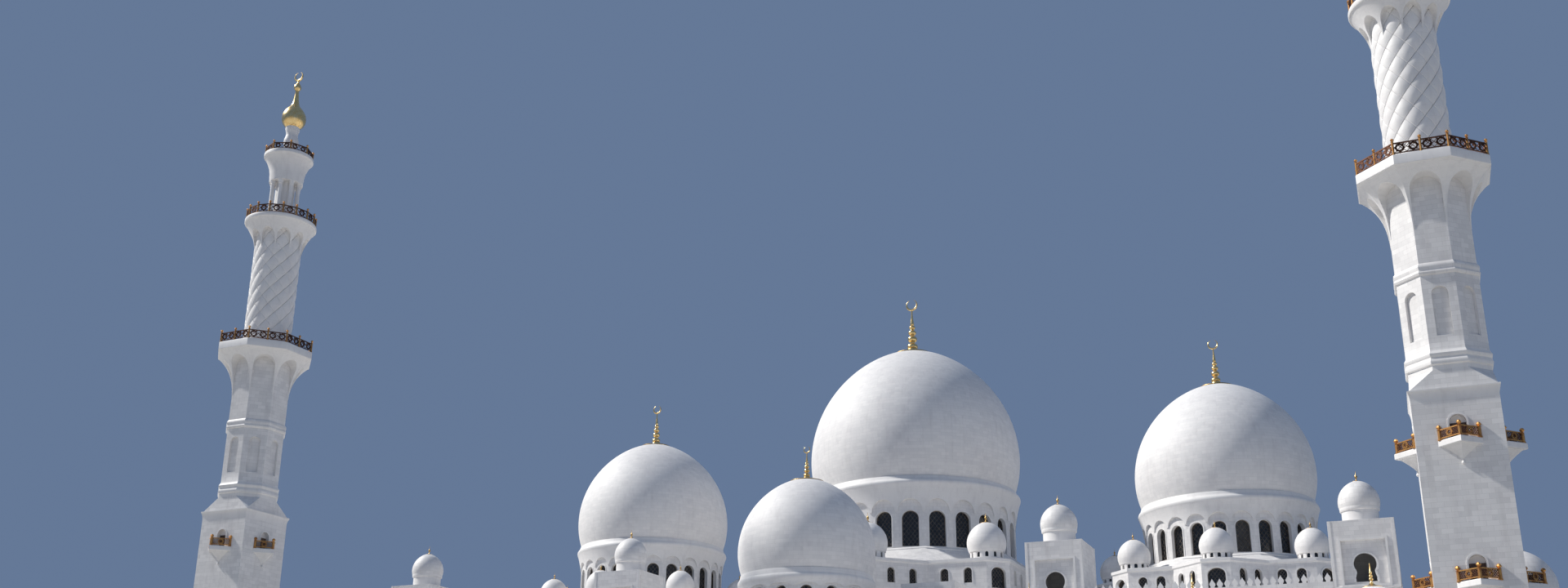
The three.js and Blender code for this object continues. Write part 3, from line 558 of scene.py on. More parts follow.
def arch_band(pile, at, hole, wide, back, front, finish=0):
    """A raised moulding round an arch."""
    centre, half = hole
    spring_at = half[1][1]
    rise = half[-1][1] - spring_at
    outer = arch(centre, 2 * (half[0][0] + wide), half[0][1], spring_at, rise + wide, len(half) - 2)
    inner_loop, outer_loop = outline(hole), outline(outer)
    for i in range(len(inner_loop) - 1):
        a, b, c, d = outer_loop[i], inner_loop[i], inner_loop[i + 1], outer_loop[i + 1]
        pile.face([at(*a, front), at(*b, front), at(*c, front), at(*d, front)], finish)
        pile.face([at(*b, front), at(*b, back), at(*c, back), at(*c, front)], finish)
        pile.face([at(*a, back), at(*a, front), at(*d, front), at(*d, back)], finish)
    for a, b in ((outer_loop[0], inner_loop[0]), (inner_loop[-1], outer_loop[-1])):
        pile.face([at(*a, back), at(*b, back), at(*b, front), at(*a, front)], finish)


print("wall helpers ready")

# %% [markdown]
# ## Window lattice
#
# Each window has a bronze lattice of crossing bars in front of a dark pane, which is painted shade
# for the unlit room behind. A bar is a straight line cut to the arch. The arch is convex, so each of
# its edges simply trims the line from one side.

# %% Lattice bars
def trimmed(p, q, loop):
    """The part of a line inside a convex outline that runs counter-clockwise, or None."""
    low, high = 0.0, 1.0
    dx, dy = q[0] - p[0], q[1] - p[1]
    for (ax, ay), (bx, by) in around(loop):
        ex, ey = bx - ax, by - ay
        here = ex * (p[1] - ay) - ey * (p[0] - ax)
        gain = ex * dy - ey * dx
        if abs(gain) < 1e-9:
            if here < 0:
                return None
        elif gain > 0:
            low = max(low, -here / gain)
        else:
            high = min(high, -here / gain)
    if high - low < 0.03:
        return None
    return [(p[0] + dx * t, p[1] + dy * t) for t in (low, high)]


def bar(pile, at, p, q, thick, back, front, finish):
    length = math.hypot(q[0] - p[0], q[1] - p[1])
    if length < 0.02:
        return
    ox, oy = -(q[1] - p[1]) / length * thick / 2, (q[0] - p[0]) / length * thick / 2
    loop = [(p[0] - ox, p[1] - oy), (q[0] - ox, q[1] - oy), (q[0] + ox, q[1] + oy), (p[0] + ox, p[1] + oy)]
    slab(pile, at, loop, back, front, finish)


def lattice(pile, at, loop, gap, thick, back, front, finish, lean=1.25):
    us = [u for u, v in loop]
    vs = [v for u, v in loop]
    tall = max(vs) - min(vs)
    middle = (max(us) + min(us)) / 2
    reach = (max(us) - min(us)) / 2 + tall / lean
    count = int(reach / gap) + 1
    for k in range(-count, count + 1):
        for side in (-1, 1):
            foot = middle + k * gap
            line = trimmed((foot, min(vs)), (foot + side * tall / lean, max(vs)), loop)
            if line:
                bar(pile, at, line[0], line[1], thick, back, front, finish)


def window(pile, at, hole, pane, gap=0.62, frame_wide=0.12):
    """Dark pane, painted shade for the unlit room behind, then bronze frame and lattice, set back into a
    reveal by the given depth.
    """
    loop = outline(hole)[::-1]
    slab(pile, at, loop, -pane - 0.06, -pane, 0)
    lattice(pile, at, loop, gap, 0.06, -pane, -pane + 0.07, finish=1)
    for p, q in around(loop):
        bar(pile, at, p, q, 2 * frame_wide, -pane, -pane + 0.1, 1)


print("lattice helpers ready")

# %% [markdown]
# ## Flared arcades
#
# Under each big dome and under the minaret balconies the stone leans outwards, and its lower edge
# is cut into a row of arches. Each bay is drawn in columns of points that start on the arch and
# climb the curve of the flare. The underside of the arch runs back to the wall behind.

# %% One bay of an arcade
def arcade(pile, at, edge, flare, feet, spring, rise, top, back, half, finish, steps=14, rows=7):
    def column(u_at, levels):
        return [at(u_at(flare(v)), v, flare(v)) for v in levels]

    legs = ladder(feet, spring, 5) if spring - feet > 0.05 else [spring]
    full = legs[:-1] + ladder(spring, top, rows)
    crown = [(-half * math.cos(t), spring + rise * math.sin(t)) for t in ladder(0, math.pi, steps)]
    pile.columns([column(lambda r: -edge(r), full), column(lambda r: -half, full)], finish)
    pile.columns([column(lambda r: half, full), column(lambda r: edge(r), full)], finish)
    pile.columns([column(lambda r, u=u: u, ladder(v, top, rows)) for u, v in crown], finish)
    under = [(-half, v) for v in legs[:-1]] + crown + [(half, v) for v in reversed(legs[:-1])]
    for (u0, v0), (u1, v1) in zip(under, under[1:]):
        pile.face([at(u0, v0, flare(v0)), at(u0, v0, back), at(u1, v1, back), at(u1, v1, flare(v1))], finish)
    low = flare(feet)
    for u0, u1 in ((-edge(low), -half), (half, edge(low))):
        pile.face([at(u0, feet, low), at(u0, feet, back), at(u1, feet, back), at(u1, feet, low)], finish)


def flared(low, high, start, gain, even, power):
    """The curve of a flare: a share of it leans out evenly, and the rest ever faster."""
    def flare(v):
        s = (v - low) / (high - low)
        return start + gain * (even * s + (1 - even) * s ** power)

    return flare


print("arcade helpers ready")

# %% [markdown]
# ## Finials
#
# A gilded finial stands on every dome: a shallow plate, a bell, bulbs that get smaller, a spike
# and a crescent. All but the crescent are turned. The crescent is a tube bent round a circle that
# is thick in the middle and thin at its open ends.

# %% Crescent and finial
def crescent(pile, x, y, z, radius, thick):
    steps, sides = 28, 8
    sweep = math.radians(315)
    rings = []
    for i in range(steps + 1):
        a = -math.pi / 2 + (i / steps - 0.5) * sweep
        tube = thick * (0.12 + 0.88 * math.cos((i / steps - 0.5) * math.pi))
        ring_points = []
        for k in range(sides):
            b = TURN * k / sides
            r = radius + tube * math.cos(b)
            ring_points.append((x + r * math.cos(a), y + tube * math.sin(b), z + r * math.sin(a)))
        rings.append(ring_points)
    for one, two in zip(rings, rings[1:]):
        for (a, b), (d, c) in around(list(zip(one, two))):
            pile.face([a, b, c, d])
    pile.face(rings[0])
    pile.face(rings[-1][::-1])


def plate_on(radius, top, plate, h):
    """A gilded plate that hugs the dome and rises to the stem like a bell."""
    rim = top - drop_at(radius, plate)
    half = top - drop_at(radius, 0.6 * plate)
    thick = 0.022 * h
    return [(0, rim - 0.04), (plate, rim - 0.04), (1.01 * plate, rim + 0.4 * thick), (plate, rim + thick),
            (0.94 * plate, rim + 1.2 * thick), (0.6 * plate, half + thick), (0.36 * plate, top + 0.012 * h)]


def big_finial(pile, x, y, radius, top, h, plate):
    profile = [(0.098, 0.02), (0.09, 0.045), (0.086, 0.07)]
    for z, wide, tall in ((0.11, 0.09, 0.1), (0.245, 0.08, 0.1), (0.36, 0.067, 0.075), (0.455, 0.052, 0.06)):
        for a in ladder(math.radians(-65), math.radians(65), 8):
            profile.append((wide * (0.15 + 0.85 * math.cos(a)), z + 0.55 * tall * math.sin(a) / 0.906))
        profile.append((0.42 * wide, z + 0.62 * tall))
    profile += [(0.034, 0.51), (0.03, 0.54), (0.022, 0.6), (0.013, 0.68), (0.012, 0.78), (0, 0.785)]
    stem = [(r * h, top + z * h) for r, z in profile]
    turned(pile, x, y, plate_on(radius, top, plate, h) + stem[:1], 48, 1)
    turned(pile, x, y, stem, 48)
    crescent(pile, x, y, top + 0.87 * h, 0.092 * h, 0.019 * h)


def small_finial(pile, x, y, radius, top, h, plate, bulbs):
    profile = plate_on(radius, top, plate, h) + [(0.2 * plate, top + 0.08 * h), (0.05 * h, top + 0.16 * h)]
    low, high = top + 0.2 * h, top + 0.62 * h
    for i in range(bulbs):
        z0 = low + (high - low) * i / bulbs
        tall = (high - low) / bulbs
        wide = (0.13 if bulbs == 1 else 0.095 - 0.012 * i) * h
        profile += [(0.35 * wide, z0), (0.85 * wide, z0 + 0.25 * tall), (wide, z0 + 0.5 * tall),
                    (0.8 * wide, z0 + 0.78 * tall)]
    profile += [(0.025 * h, high), (0.018 * h, top + 0.92 * h), (0, top + h)]
    turned(pile, x, y, profile, 14)


print("finial helpers ready")

# %% [markdown]
# ## Small domes
#
# Dozens of small domes share one design: a low round wall with tiny arched windows, a dome that
# swells past it, and a thin gilded spike. The windows are shallow niches whose dark back is painted
# shade for the unlit inside, made with the same wall helpers as the big ones. The domes on the
# portal towers have a plain wall, and a flat ring round the foot of the dome instead.

# %% A small dome
def small_dome(stone_pile, gold_pile, x, y, base, radius, band_height, niches=12, spike=1.0, plate=0.6,
               bulbs=1, belly=0.46):
    band = 0.87 * radius
    foot = base + band_height
    curve = dome_curve(radius, foot, 1, 20, belly)
    if niches:
        flat = band * math.cos(math.pi / niches)
        half = flat * math.tan(math.pi / niches)
    else:
        ring = band + 0.17
        rings = [(band, base), (band, foot - 0.02), (ring - 0.03, foot), (ring, foot + 0.05),
                 (ring + 0.03, foot + 0.5), (ring, foot + 0.56), (ring - 0.06, foot + 0.58)]
        turned(stone_pile, x, y, rings, 48, 1)
    for k in range(niches):
        at = wall_at(x, y, TURN * (k + 0.5) / niches, flat)
        low, tall = base + 0.27 * band_height, 0.63 * band_height
        hole = arch(0, min(0.44, half), low, low + 0.68 * tall, 0.32 * tall, 4)
        pierced(stone_pile, at, -half, half, base, foot, [hole], finish=1)
        reveal(stone_pile, at, hole, 0.0, -0.2, 1)
        # The back of each niche is a near-black pane: painted shade for the dark inside.
        stone_pile.face([at(u, v, -0.2) for u, v in outline(hole)[::-1]], 2)
    lip = [(band * 0.96, foot - 0.02), (curve[0][0] - 0.02, foot - 0.06), (curve[0][0] + 0.04, foot - 0.01)]
    turned(stone_pile, x, y, lip + curve[1:], 40)
    top = curve[-1][1]
    small_finial(gold_pile, x, y, radius, top, spike, plate, bulbs)


print("small dome helper ready")

# %% [markdown]
# ## The four big domes
#
# Each big dome is a shell on a round wall of windows. The same function makes all four from their
# own measures: the place, the radius, the foot of the dome and the levels of the windows.

# %% Measures of the domes
DOMES = {
    "main": dict(x=0, y=0, R=16.5, foot=50.1, base=36.5, sill=39.6, spring=43.7, wide=2.5, count=24,
                 turret=22.0, turret_r=2.8, band=1.2, face=25.0, finial=9.6, plate=3.0, skirt=0),
    "right": dict(x=47.1, y=0, R=12.64, foot=44.8, base=34.4, sill=36.3, spring=39.8, wide=1.9, count=24,
                  turret=16.5, turret_r=2.25, band=0.95, face=19.0, finial=7.4, plate=2.4, skirt=0),
    "entrance": dict(x=0, y=-44.6, R=8.78, foot=30.7, base=24.0, sill=25.7, spring=27.8, wide=1.6, count=16,
                     turret=0, finial=4.5, plate=2.2, skirt=11.3),
}
DOMES["left"] = dict(DOMES["right"], x=-47.1)
DRUM_DEPTH = 0.9
STAR_SLAB = 0.6
STAR_HALF = 1.85
STAR_INNER = 0.7654  # the inner corners lie at this share of the distance of the uncut points
for d in DOMES.values():
    d["wall"] = 0.925 * d["R"]
    if d["turret"]:
        d["inner"] = STAR_INNER * (d["face"] + STAR_HALF)
        d["skirt"] = min(d["inner"] - 0.1, octagon(2 * d["turret"] - d["face"]))
print("skirt corner of the main dome:", round(DOMES["main"]["skirt"], 2))

# %% Dome shells
def dome_piece(name, d):
    pile = Pile()
    rows = 44 if d["R"] > 10 else 32
    seat = d["foot"] + SEAT
    outer, inner = dome_curve(d["R"], seat, 1, rows), dome_curve(d["R"], seat, 0.94, 20)
    turned(pile, d["x"], d["y"], [(inner[0][0], seat)] + outer, 128 if rows > 40 else 96)
    # The inside of the shell takes the inner finish, whose dark tone is painted shade.
    turned(pile, d["x"], d["y"], inner[::-1], 64, 1)
    turned(pile, d["x"], d["y"], [inner[0], (inner[0][0], seat)], 64, 1)
    make(f"{name}_dome_shell", pile, [dome_marble, inner_shade], [f"{name}_dome"])
    gilt = Pile()
    top = d["foot"] + d["R"] * (BELLY + RISE)
    big_finial(gilt, d["x"], d["y"], d["R"], top, d["finial"], d["plate"])
    make(f"{name}_dome_finial", gilt, [gold, old_gold], [f"{name}_finial"], 50)


for name, d in DOMES.items():
    dome_piece(name, d)
tell("dome shells", "shell")

# %% [markdown]
# ## Drums
#
# The drum under a dome is a ring of flat bays, one for each window. The windows sit deep in the
# wall. Above them the flared arcade swings out to a rounded ledge, and below them an eight-sided
# skirt slopes down to the terrace.

# %% Drum pieces
def drum_piece(name, d):
    pile, panes = Pile(), Pile()
    x, y, n, wall = d["x"], d["y"], d["count"], d["wall"]
    deep = DRUM_DEPTH
    feet = d["spring"] + d["wide"] / 2 - 0.1
    ledge = d["foot"] - 1.4
    lip = 0.985 * d["R"]
    rise = 0.47 * (ledge - feet)
    start = wall / math.cos(math.pi / n) + 0.12
    skirt_top = d["sill"] - 0.5

    flare = flared(feet, ledge, start, lip - start, 0.25, 2)

    def edge(r):
        return r * math.pi / n

    for k in range(n):
        angle = TURN * k / n
        at = wall_at(x, y, angle, wall)
        half = wall * math.tan(math.pi / n)
        half_in = (wall - deep) * math.tan(math.pi / n)
        hole = arch(0, d["wide"], d["sill"], d["spring"], d["wide"] / 2)
        pierced(pile, at, -half, half, skirt_top - 0.4, feet + rise + 0.5, [hole])
        # The inner face of the drum wall is painted dark as shade.
        pierced(pile, at, -half_in, half_in, d["base"], d["foot"], [hole], -deep, True, 2)
        reveal(pile, at, hole, 0.0, -deep, 1)
        arch_band(pile, at, hole, 0.16, 0.0, 0.07, 1)
        window(panes, at, hole, 0.62)
        arcade(pile, round_at(x, y, angle), edge, flare, feet, feet, rise, ledge, wall - 0.1,
               0.9 * half, finish=1)
    rim = [(lip, ledge), (lip + 0.06, ledge + 0.12), (lip + 0.1, ledge + 0.32), (lip + 0.07, ledge + 0.52),
           (lip - 0.02, ledge + 0.68), (lip - 0.12, ledge + 0.76), (0.965 * d["R"], ledge + 1.0),
           (0.958 * d["R"], d["foot"] - 0.1), (0.955 * d["R"], d["foot"]), (wall - deep, d["foot"])]
    turned(pile, x, y, rim, n * 6, 1)
    skirt = [(wall - deep, d["base"]), (d["skirt"], d["base"]), (d["skirt"], d["base"] + 0.12),
             (octagon(wall + 0.5), skirt_top - 0.12), (octagon(wall + 0.5), skirt_top),
             (wall - 0.1, skirt_top)]
    turned(pile, x, y, skirt, 8, 0, math.pi / 8)
    turned(pile, x, y, [(octagon(wall + 0.5), skirt_top), (octagon(wall + 0.2), skirt_top + 0.25),
                        (wall - 0.1, skirt_top + 0.25)], 8, 1, math.pi / 8)
    make(f"{name}_window_drum", pile, [ashlar, carved_marble, inner_shade], [f"{name}_drum"])
    make(f"{name}_drum_windows", panes, [glass_painted_shade, lattice_bronze])


for name, d in DOMES.items():
    drum_piece(name, d)
tell("drums", "drum")

# %% [markdown]
# ## Star-shaped bases
#
# Two squares turned against each other make an eight-pointed star. The three largest domes stand
# on such stars, whose points are cut off by a flat face with one large window. The walls between
# the points have two narrow windows each. A slab with a crisp edge covers each star and carries a
# small dome on every point.

# %% Star walls
def star_walls(name, d):
    pile, panes = Pile(), Pile()
    x, y, face, inner = d["x"], d["y"], d["face"], d["inner"]
    low, high, thick = HALL_ROOF, d["base"] - STAR_SLAB, 0.8
    tight = thick * math.tan(math.pi / 8)
    outer_end = (face - STAR_HALF) / math.sqrt(2)
    inner_end = inner * math.sin(math.pi / 8)
    length = outer_end - inner_end
    sill = d["base"] - 4.2
    small = d["base"] - 3.4
    for k in range(8):
        at = wall_at(x, y, k * EIGHTH, face)
        hole = arch(0, 2.3, sill, sill + 2.0, 0.95)
        pierced(pile, at, -STAR_HALF, STAR_HALF, low, high, [hole])
        # The inner faces of the star walls are painted dark as shade.
        pierced(pile, at, -STAR_HALF + tight, STAR_HALF - tight, low, high, [hole], -thick, True, 2)
        reveal(pile, at, hole, 0.0, -thick, 1)
        arch_band(pile, at, hole, 0.18, 0.0, 0.08, 1)
        window(panes, at, hole, 0.55, 0.5)
        side = wall_at(x, y, k * EIGHTH, (face + STAR_HALF) / math.sqrt(2))
        for sign in (-1, 1):
            places = sorted(sign * (outer_end - share * length) for share in (0.32, 0.72))
            holes = [arch(c, 1.2, small, small + 1.55, 0.6, 6) for c in places]
            ends = sorted((sign * outer_end, sign * inner_end))
            ends_in = sorted((sign * (outer_end - tight), sign * (inner_end - tight)))
            pierced(pile, side, ends[0], ends[1], low, high, holes)
            # The inner face takes the painted shade as well.
            pierced(pile, side, ends_in[0], ends_in[1], low, high, holes, -thick, True, 2)
            for one in holes:
                reveal(pile, side, one, 0.0, -thick, 1)
                arch_band(pile, side, one, 0.13, 0.0, 0.06, 1)
                window(panes, side, one, 0.5, 0.4, 0.08)
            block(pile, side, ends[0], ends[1], low, low + 0.5, 0.0, 0.12, 1)
        block(pile, at, -STAR_HALF - 0.05, STAR_HALF + 0.05, low, low + 0.5, 0.0, 0.12, 1)
    make(f"{name}_star_walls", pile, [ashlar, carved_marble, inner_shade], [f"{name}_star_base"])
    make(f"{name}_star_windows", panes, [glass_painted_shade, lattice_bronze])


for name in ("main", "left", "right"):
    star_walls(name, DOMES[name])
tell("star walls", "star")

# %% Star terraces
def star_loop(face, half):
    """Plan of the star with its face moved outwards, as points round the axis."""
    inner = STAR_INNER * (face + half)
    loop = []
    for k in range(8):
        a = k * EIGHTH
        for side in (-half, half):
            loop.append((face * math.cos(a) - side * math.sin(a), face * math.sin(a) + side * math.cos(a)))
        loop.append((inner * math.cos(a + EIGHTH / 2), inner * math.sin(a + EIGHTH / 2)))
    return loop


def star_terrace(name, d):
    pile, gilt = Pile(), Pile()
    x, y, top = d["x"], d["y"], d["base"]
    bore = d["wall"] - DRUM_DEPTH
    bottom = top - STAR_SLAB
    steps = [(0.0, bottom), (0.05, bottom + 0.12), (0.14, bottom + 0.2), (0.14, top - 0.02), (0.12, top)]
    loops = []
    for out, z in steps:
        plan = star_loop(d["face"] + out, STAR_HALF + out * math.tan(math.pi / 8))
        loops.append([(x + px, y + py, z) for px, py in plan])
    angles = [math.atan2(py, px) for px, py in star_loop(d["face"], STAR_HALF)]
    for z, loop in ((bottom, loops[0]), (top, loops[-1])):
        well = [(x + bore * math.cos(a), y + bore * math.sin(a), z) for a in angles]
        for (near, far), (next_near, next_far) in around(list(zip(well, loop))):
            corners = [near, far, next_far, next_near]
            pile.face(corners if z == top else corners[::-1])
    pile.rings(loops, 1)
    turned(pile, x, y, [(bore, top), (bore, bottom)], 48, 1)
    spike, plate = (1.4, 0.8) if name == "main" else (1.0, 0.6)
    for k in range(8):
        c, s = math.cos(k * EIGHTH), math.sin(k * EIGHTH)
        small_dome(pile, gilt, x + d["turret"] * c, y + d["turret"] * s, top, d["turret_r"], d["band"],
                   spike=spike, plate=plate)
    make(f"{name}_star_terrace", pile, [dome_marble, carved_marble, glass_painted_shade], [f"{name}_terrace"])
    make(f"{name}_terrace_finials", gilt, [old_gold], (), 50)


for name in ("main", "left", "right"):
    star_terrace(name, DOMES[name])
tell("terraces", "terrace")

# %% [markdown]
# ## Slabs made of cells
#
# A flat roof with square holes is easiest as a board of cells. Each cell that is not in a hole
# gets a top and a bottom, and a side wherever its neighbour is missing.

# %% A board of cells
def board(pile, xs, ys, z0, z1, is_open, top=0, sides=0, bottom=0):
    kept = set()
    for i in range(len(xs) - 1):
        for j in range(len(ys) - 1):
            if not is_open((xs[i] + xs[i + 1]) / 2, (ys[j] + ys[j + 1]) / 2):
                kept.add((i, j))
    for i, j in kept:
        x0, x1, y0, y1 = xs[i], xs[i + 1], ys[j], ys[j + 1]
        pile.face([(x0, y0, z1), (x1, y0, z1), (x1, y1, z1), (x0, y1, z1)], top)
        pile.face([(x0, y1, z0), (x1, y1, z0), (x1, y0, z0), (x0, y0, z0)], bottom)
        for di, dj, (ax, ay), (bx, by) in ((0, -1, (x0, y0), (x1, y0)), (1, 0, (x1, y0), (x1, y1)),
                                           (0, 1, (x1, y1), (x0, y1)), (-1, 0, (x0, y1), (x0, y0))):
            if (i + di, j + dj) not in kept:
                pile.face([(ax, ay, z0), (bx, by, z0), (bx, by, z1), (ax, ay, z1)], sides)


MERLON_PITCH = 0.85


def merlons(pile, at, u0, u1, base, finish=0):
    """A row of leaf-shaped battlements along a parapet."""
    count = max(1, round((u1 - u0) / MERLON_PITCH))
    half = [(0.24, 0.0), (0.20, 0.12), (0.33, 0.38), (0.31, 0.52), (0.17, 0.72), (0.08, 0.86), (0.0, 1.04)]
    for k in range(count):
        c = u0 + (k + 0.5) * (u1 - u0) / count
        loop = [(c + u, base + v) for u, v in half] + [(c - u, base + v) for u, v in reversed(half[:-1])]
        slab(pile, at, loop, -0.16, 0.16, finish)


print("board and battlement helpers ready")

# %% [markdown]
# ## Gallery roof, pavilions and battlements
#
# The gallery in front of the hall has a flat roof with a row of small domes. Behind each minaret a
# square pavilion lifts one dome higher. Leaf-shaped battlements line the parapets of the gallery
# and of the hall.

# %% Gallery roofs
BAY = 16.65
JOINT = 1.75 * BAY
GALLERY_DOME = dict(band_height=0.95, niches=16, spike=2.2, plate=1.0, bulbs=3, belly=BELLY)
GALLERY_X, GALLERY_FRONT, GALLERY_BACK = 84.9, -68.9, -HALL_Y - SEAT
MINARET_X, MINARET_Y, MINARET_HALF = 75.8, -63.6, 3.85
WELL = MINARET_HALF + SEAT
ENTRANCE_X, ENTRANCE_FRONT, ENTRANCE_BACK = 11.5, -56.2, -40.75


def minaret_hole(px, py):
    return abs(abs(px) - MINARET_X) < WELL and abs(py - MINARET_Y) < WELL


def gallery_roof(name, x0, x1, ks):
    pile, gilt = Pile(), Pile()
    inner_x, inner_y = GALLERY_X - PARAPET, GALLERY_FRONT + PARAPET
    cuts = [s * u for s in (-1, 1) for u in (MINARET_X - WELL, MINARET_X + WELL, ENTRANCE_X, inner_x)]
    xs = sorted({x0, x1} | {u for u in cuts if x0 < u < x1})
    ys = [GALLERY_FRONT, inner_y, MINARET_Y - WELL, MINARET_Y + WELL, ENTRANCE_FRONT, ENTRANCE_BACK,
          GALLERY_BACK]

    def roof_hole(px, py):
        return minaret_hole(px, py) or (abs(px) < ENTRANCE_X and ENTRANCE_FRONT < py < ENTRANCE_BACK)

    def no_parapet(px, py):
        return abs(px) < inner_x and py > inner_y

    board(pile, xs, ys, GALLERY_ROOF - 0.8, GALLERY_ROOF, roof_hole, 0, 1, 1)
    board(pile, xs, ys, GALLERY_ROOF, GALLERY_PARAPET, no_parapet, 1, 1, 1)
    for k in ks:
        small_dome(pile, gilt, k * BAY, MINARET_Y, GALLERY_ROOF, 3.6, **GALLERY_DOME)
    front = wall_at(0, GALLERY_FRONT + PARAPET / 2, FRONT)
    merlons(pile, front, x0 + 0.3, x1 - 0.3, GALLERY_PARAPET, 1)
    block(pile, front, x0, x1, GALLERY_ROOF - 0.1, GALLERY_ROOF + 0.15, 0.25, 0.45, 1)
    sign = dict(SIDES).get(name)
    if sign:
        side = side_wall(sign, GALLERY_X - PARAPET / 2)
        ends = sorted((sign * (GALLERY_FRONT + 0.8), sign * (GALLERY_BACK - 0.2)))
        merlons(pile, side, ends[0], ends[1], GALLERY_PARAPET, 1)
    make(f"{name}_gallery_domes", pile, [dome_marble, carved_marble, glass_painted_shade],
         [f"{name}_gallery_roof"])
    make(f"{name}_gallery_finials", gilt, [gold], (), 50)


gallery_roof("left", -GALLERY_X, -JOINT - SEAT, (-4, -3, -2))
gallery_roof("middle", -JOINT, JOINT, (-1, 0, 1))
gallery_roof("right", JOINT + SEAT, GALLERY_X, (2, 3, 4))
tell("gallery roofs", "gallery")

# %% Pavilions
def pavilion(name, sign):
    pile, gilt = Pile(), Pile()
    x, y, half = sign * 79.9, -52.0, 4.5
    low, high = GALLERY_ROOF + SEAT, 21.6
    board(pile, [x - half, x + half], [y - half, y + half], low, high, lambda px, py: False)
    for k in range(4):
        at = wall_at(x, y, k * math.pi / 2, half)
        block(pile, at, -half - 0.12, half + 0.12, high - 0.55, high - 0.25, -0.1, 0.12, 1)
        block(pile, at, -half - 0.05, half + 0.05, low, low + 0.5, -0.1, 0.1, 1)
        for c in (-2.4, 0, 2.4):
            niche = arch(c, 1.3, GALLERY_ROOF + 0.9, GALLERY_ROOF + 2.4, 0.65)
            arch_band(pile, at, niche, 0.15, 0.0, 0.07, 1)
            # Each niche is a flat near-black plate: painted shade for its hollow.
            slab(pile, at, outline(niche)[::-1], 0.0, 0.02, 2)
    small_dome(pile, gilt, x, y, high, 3.5, **GALLERY_DOME)
    make(f"{name}_domed_pavilion", pile, [ashlar, carved_marble, glass_painted_shade], [f"{name}_pavilion"])
    make(f"{name}_pavilion_finial", gilt, [gold], (), 50)


for name, sign in SIDES:
    pavilion(name, sign)
tell("pavilions", "pavilion")

# %% Battlements of the hall
TOWERS = (-65.65, -30.6, 30.6, 65.65)
battlements = Pile()
front = wall_at(0, -HALL_Y + PARAPET / 2, FRONT)
for u0, u1 in ((-62.0, -34.25), (-26.95, -18.2), (18.2, 26.95), (34.25, 62.0)):
    merlons(battlements, front, u0, u1, HALL_PARAPET)
merlons(battlements, wall_at(0, HALL_Y - PARAPET / 2, BACK), -69.0, 69.0, HALL_PARAPET)
merlons(battlements, side_wall(1, HALL_X - PARAPET / 2), -32.0, 39.0, HALL_PARAPET)
merlons(battlements, side_wall(-1, HALL_X - PARAPET / 2), -39.0, 32.0, HALL_PARAPET)
make("hall_battlements", battlements, [carved_marble])
print("battlements:", triangles["hall_battlements"], "triangles")

# %% [markdown]
# ## Portal towers
#
# Four short towers stand on the front edge of the roof. Each has a sunk panel with a raised border
# and a keyhole arch: a round head on a neck that widens again below. The tower is hollow behind
# the arch and its back wall is plain. Its top edge is crisp, without a cornice.

# %% Towers
def keyhole():
    """Half outline of the keyhole arch: a straight foot, a narrow neck and a round head."""
    half = [(1.2, 27.2), (1.2, 27.7), (1.12, 28.0), (1.05, 28.3)]
    head, middle = 1.3, 29.2
    for t in ladder(math.radians(-36), math.radians(90), 14):
        half.append((head * math.cos(t), middle + head * math.sin(t)))
    half[-1] = (0.0, middle + head)
    return 0.0, half


def tower_piece(name, x):
    pile, gilt = Pile(), Pile()
    y0, y1, w, t = -HALL_Y, -HALL_Y + 7.5, 3.5, 0.9
    low, high = HALL_ROOF + SEAT, 34.2
    front, back = wall_at(x, y0, FRONT), wall_at(x, y1, BACK)
    wide, sill, head, edge = 2.35, 26.9, 31.9, 0.25
    panel = (0.0, [(wide, sill), (wide, head), (0.0, head)])
    hole = keyhole()
    deep = (y1 - y0) / 2
    pierced(pile, front, -w, w, low, high, [panel])
    reveal(pile, front, panel, 0.0, -0.25, 1)
    pierced(pile, front, -wide, wide, sill, head, [hole], -0.25)
    reveal(pile, front, hole, -0.25, -t, 1)
    pierced(pile, front, -w + t, w - t, low, high - t, [hole], -t, True)
    left, right = (wall_at(x + sign * w, (y0 + y1) / 2, turn) for sign, turn in ((-1, math.pi), (1, 0)))
    for at, half in ((back, w), (left, deep), (right, deep)):
        pile.face([at(-half, low, 0), at(half, low, 0), at(half, high, 0), at(-half, high, 0)])
        half -= t
        pile.face([at(-half, low, -t), at(-half, high - t, -t), at(half, high - t, -t), at(half, low, -t)])
    pile.face([(x - w + t, y0 + t, high - t), (x - w + t, y1 - t, high - t), (x + w - t, y1 - t, high - t),
               (x + w - t, y0 + t, high - t)])
    pile.face([(x - w, y0, high), (x + w, y0, high), (x + w, y1, high), (x - w, y1, high)], 1)
    for u0, u1, v0, v1 in ((-wide - edge, -wide, sill - edge, head + edge),
                           (wide, wide + edge, sill - edge, head + edge),
                           (-wide, wide, head, head + edge), (-wide, wide, sill - edge, sill)):
        block(pile, front, u0, u1, v0, v1, 0.0, 0.1, 1)
    loop = outline(hole)
    for p, q in zip(loop, loop[1:]):
        bar(pile, front, p, q, 0.22, -0.25, -0.17, 1)
    for k, (half, distance) in enumerate(2 * ((w, deep), (deep, w))):
        at = wall_at(x, (y0 + y1) / 2, FRONT + k * math.pi / 2, distance)
        block(pile, at, -half, half, low, low + 0.3, -0.02, 0.08, 1)
        for u in (-half, half - 0.3):
            block(pile, at, u, u + 0.3, low + 0.3, high, -0.02, 0.035, 1)
    small_dome(pile, gilt, x, (y0 + y1) / 2, high, 2.3, 1.6, niches=0, spike=1.2, plate=0.5)
    make(f"{name}_portal_tower", pile, [ashlar, carved_marble], [f"{name}_tower"])
    make(f"{name}_tower_finial", gilt, [old_gold], (), 50)


for name, x in zip(("left_outer", "left_inner", "right_inner", "right_outer"), TOWERS):
    tower_piece(name, x)
tell("towers", "portal")

# %% [markdown]
# ## Minaret shafts
#
# A minaret rises as a square, then slopes in to an octagon with blind niches, and opens like a
# flower under its first balcony. Small balconies with a pointed plan, like the bow of a boat, hang
# on the four sides. Each has an arched door.

# %% Bow balconies
PROW_HALF, PROW_REACH, PROW_SLAB, PROW_CORBEL = 1.9, 1.9, 0.6, 1.47


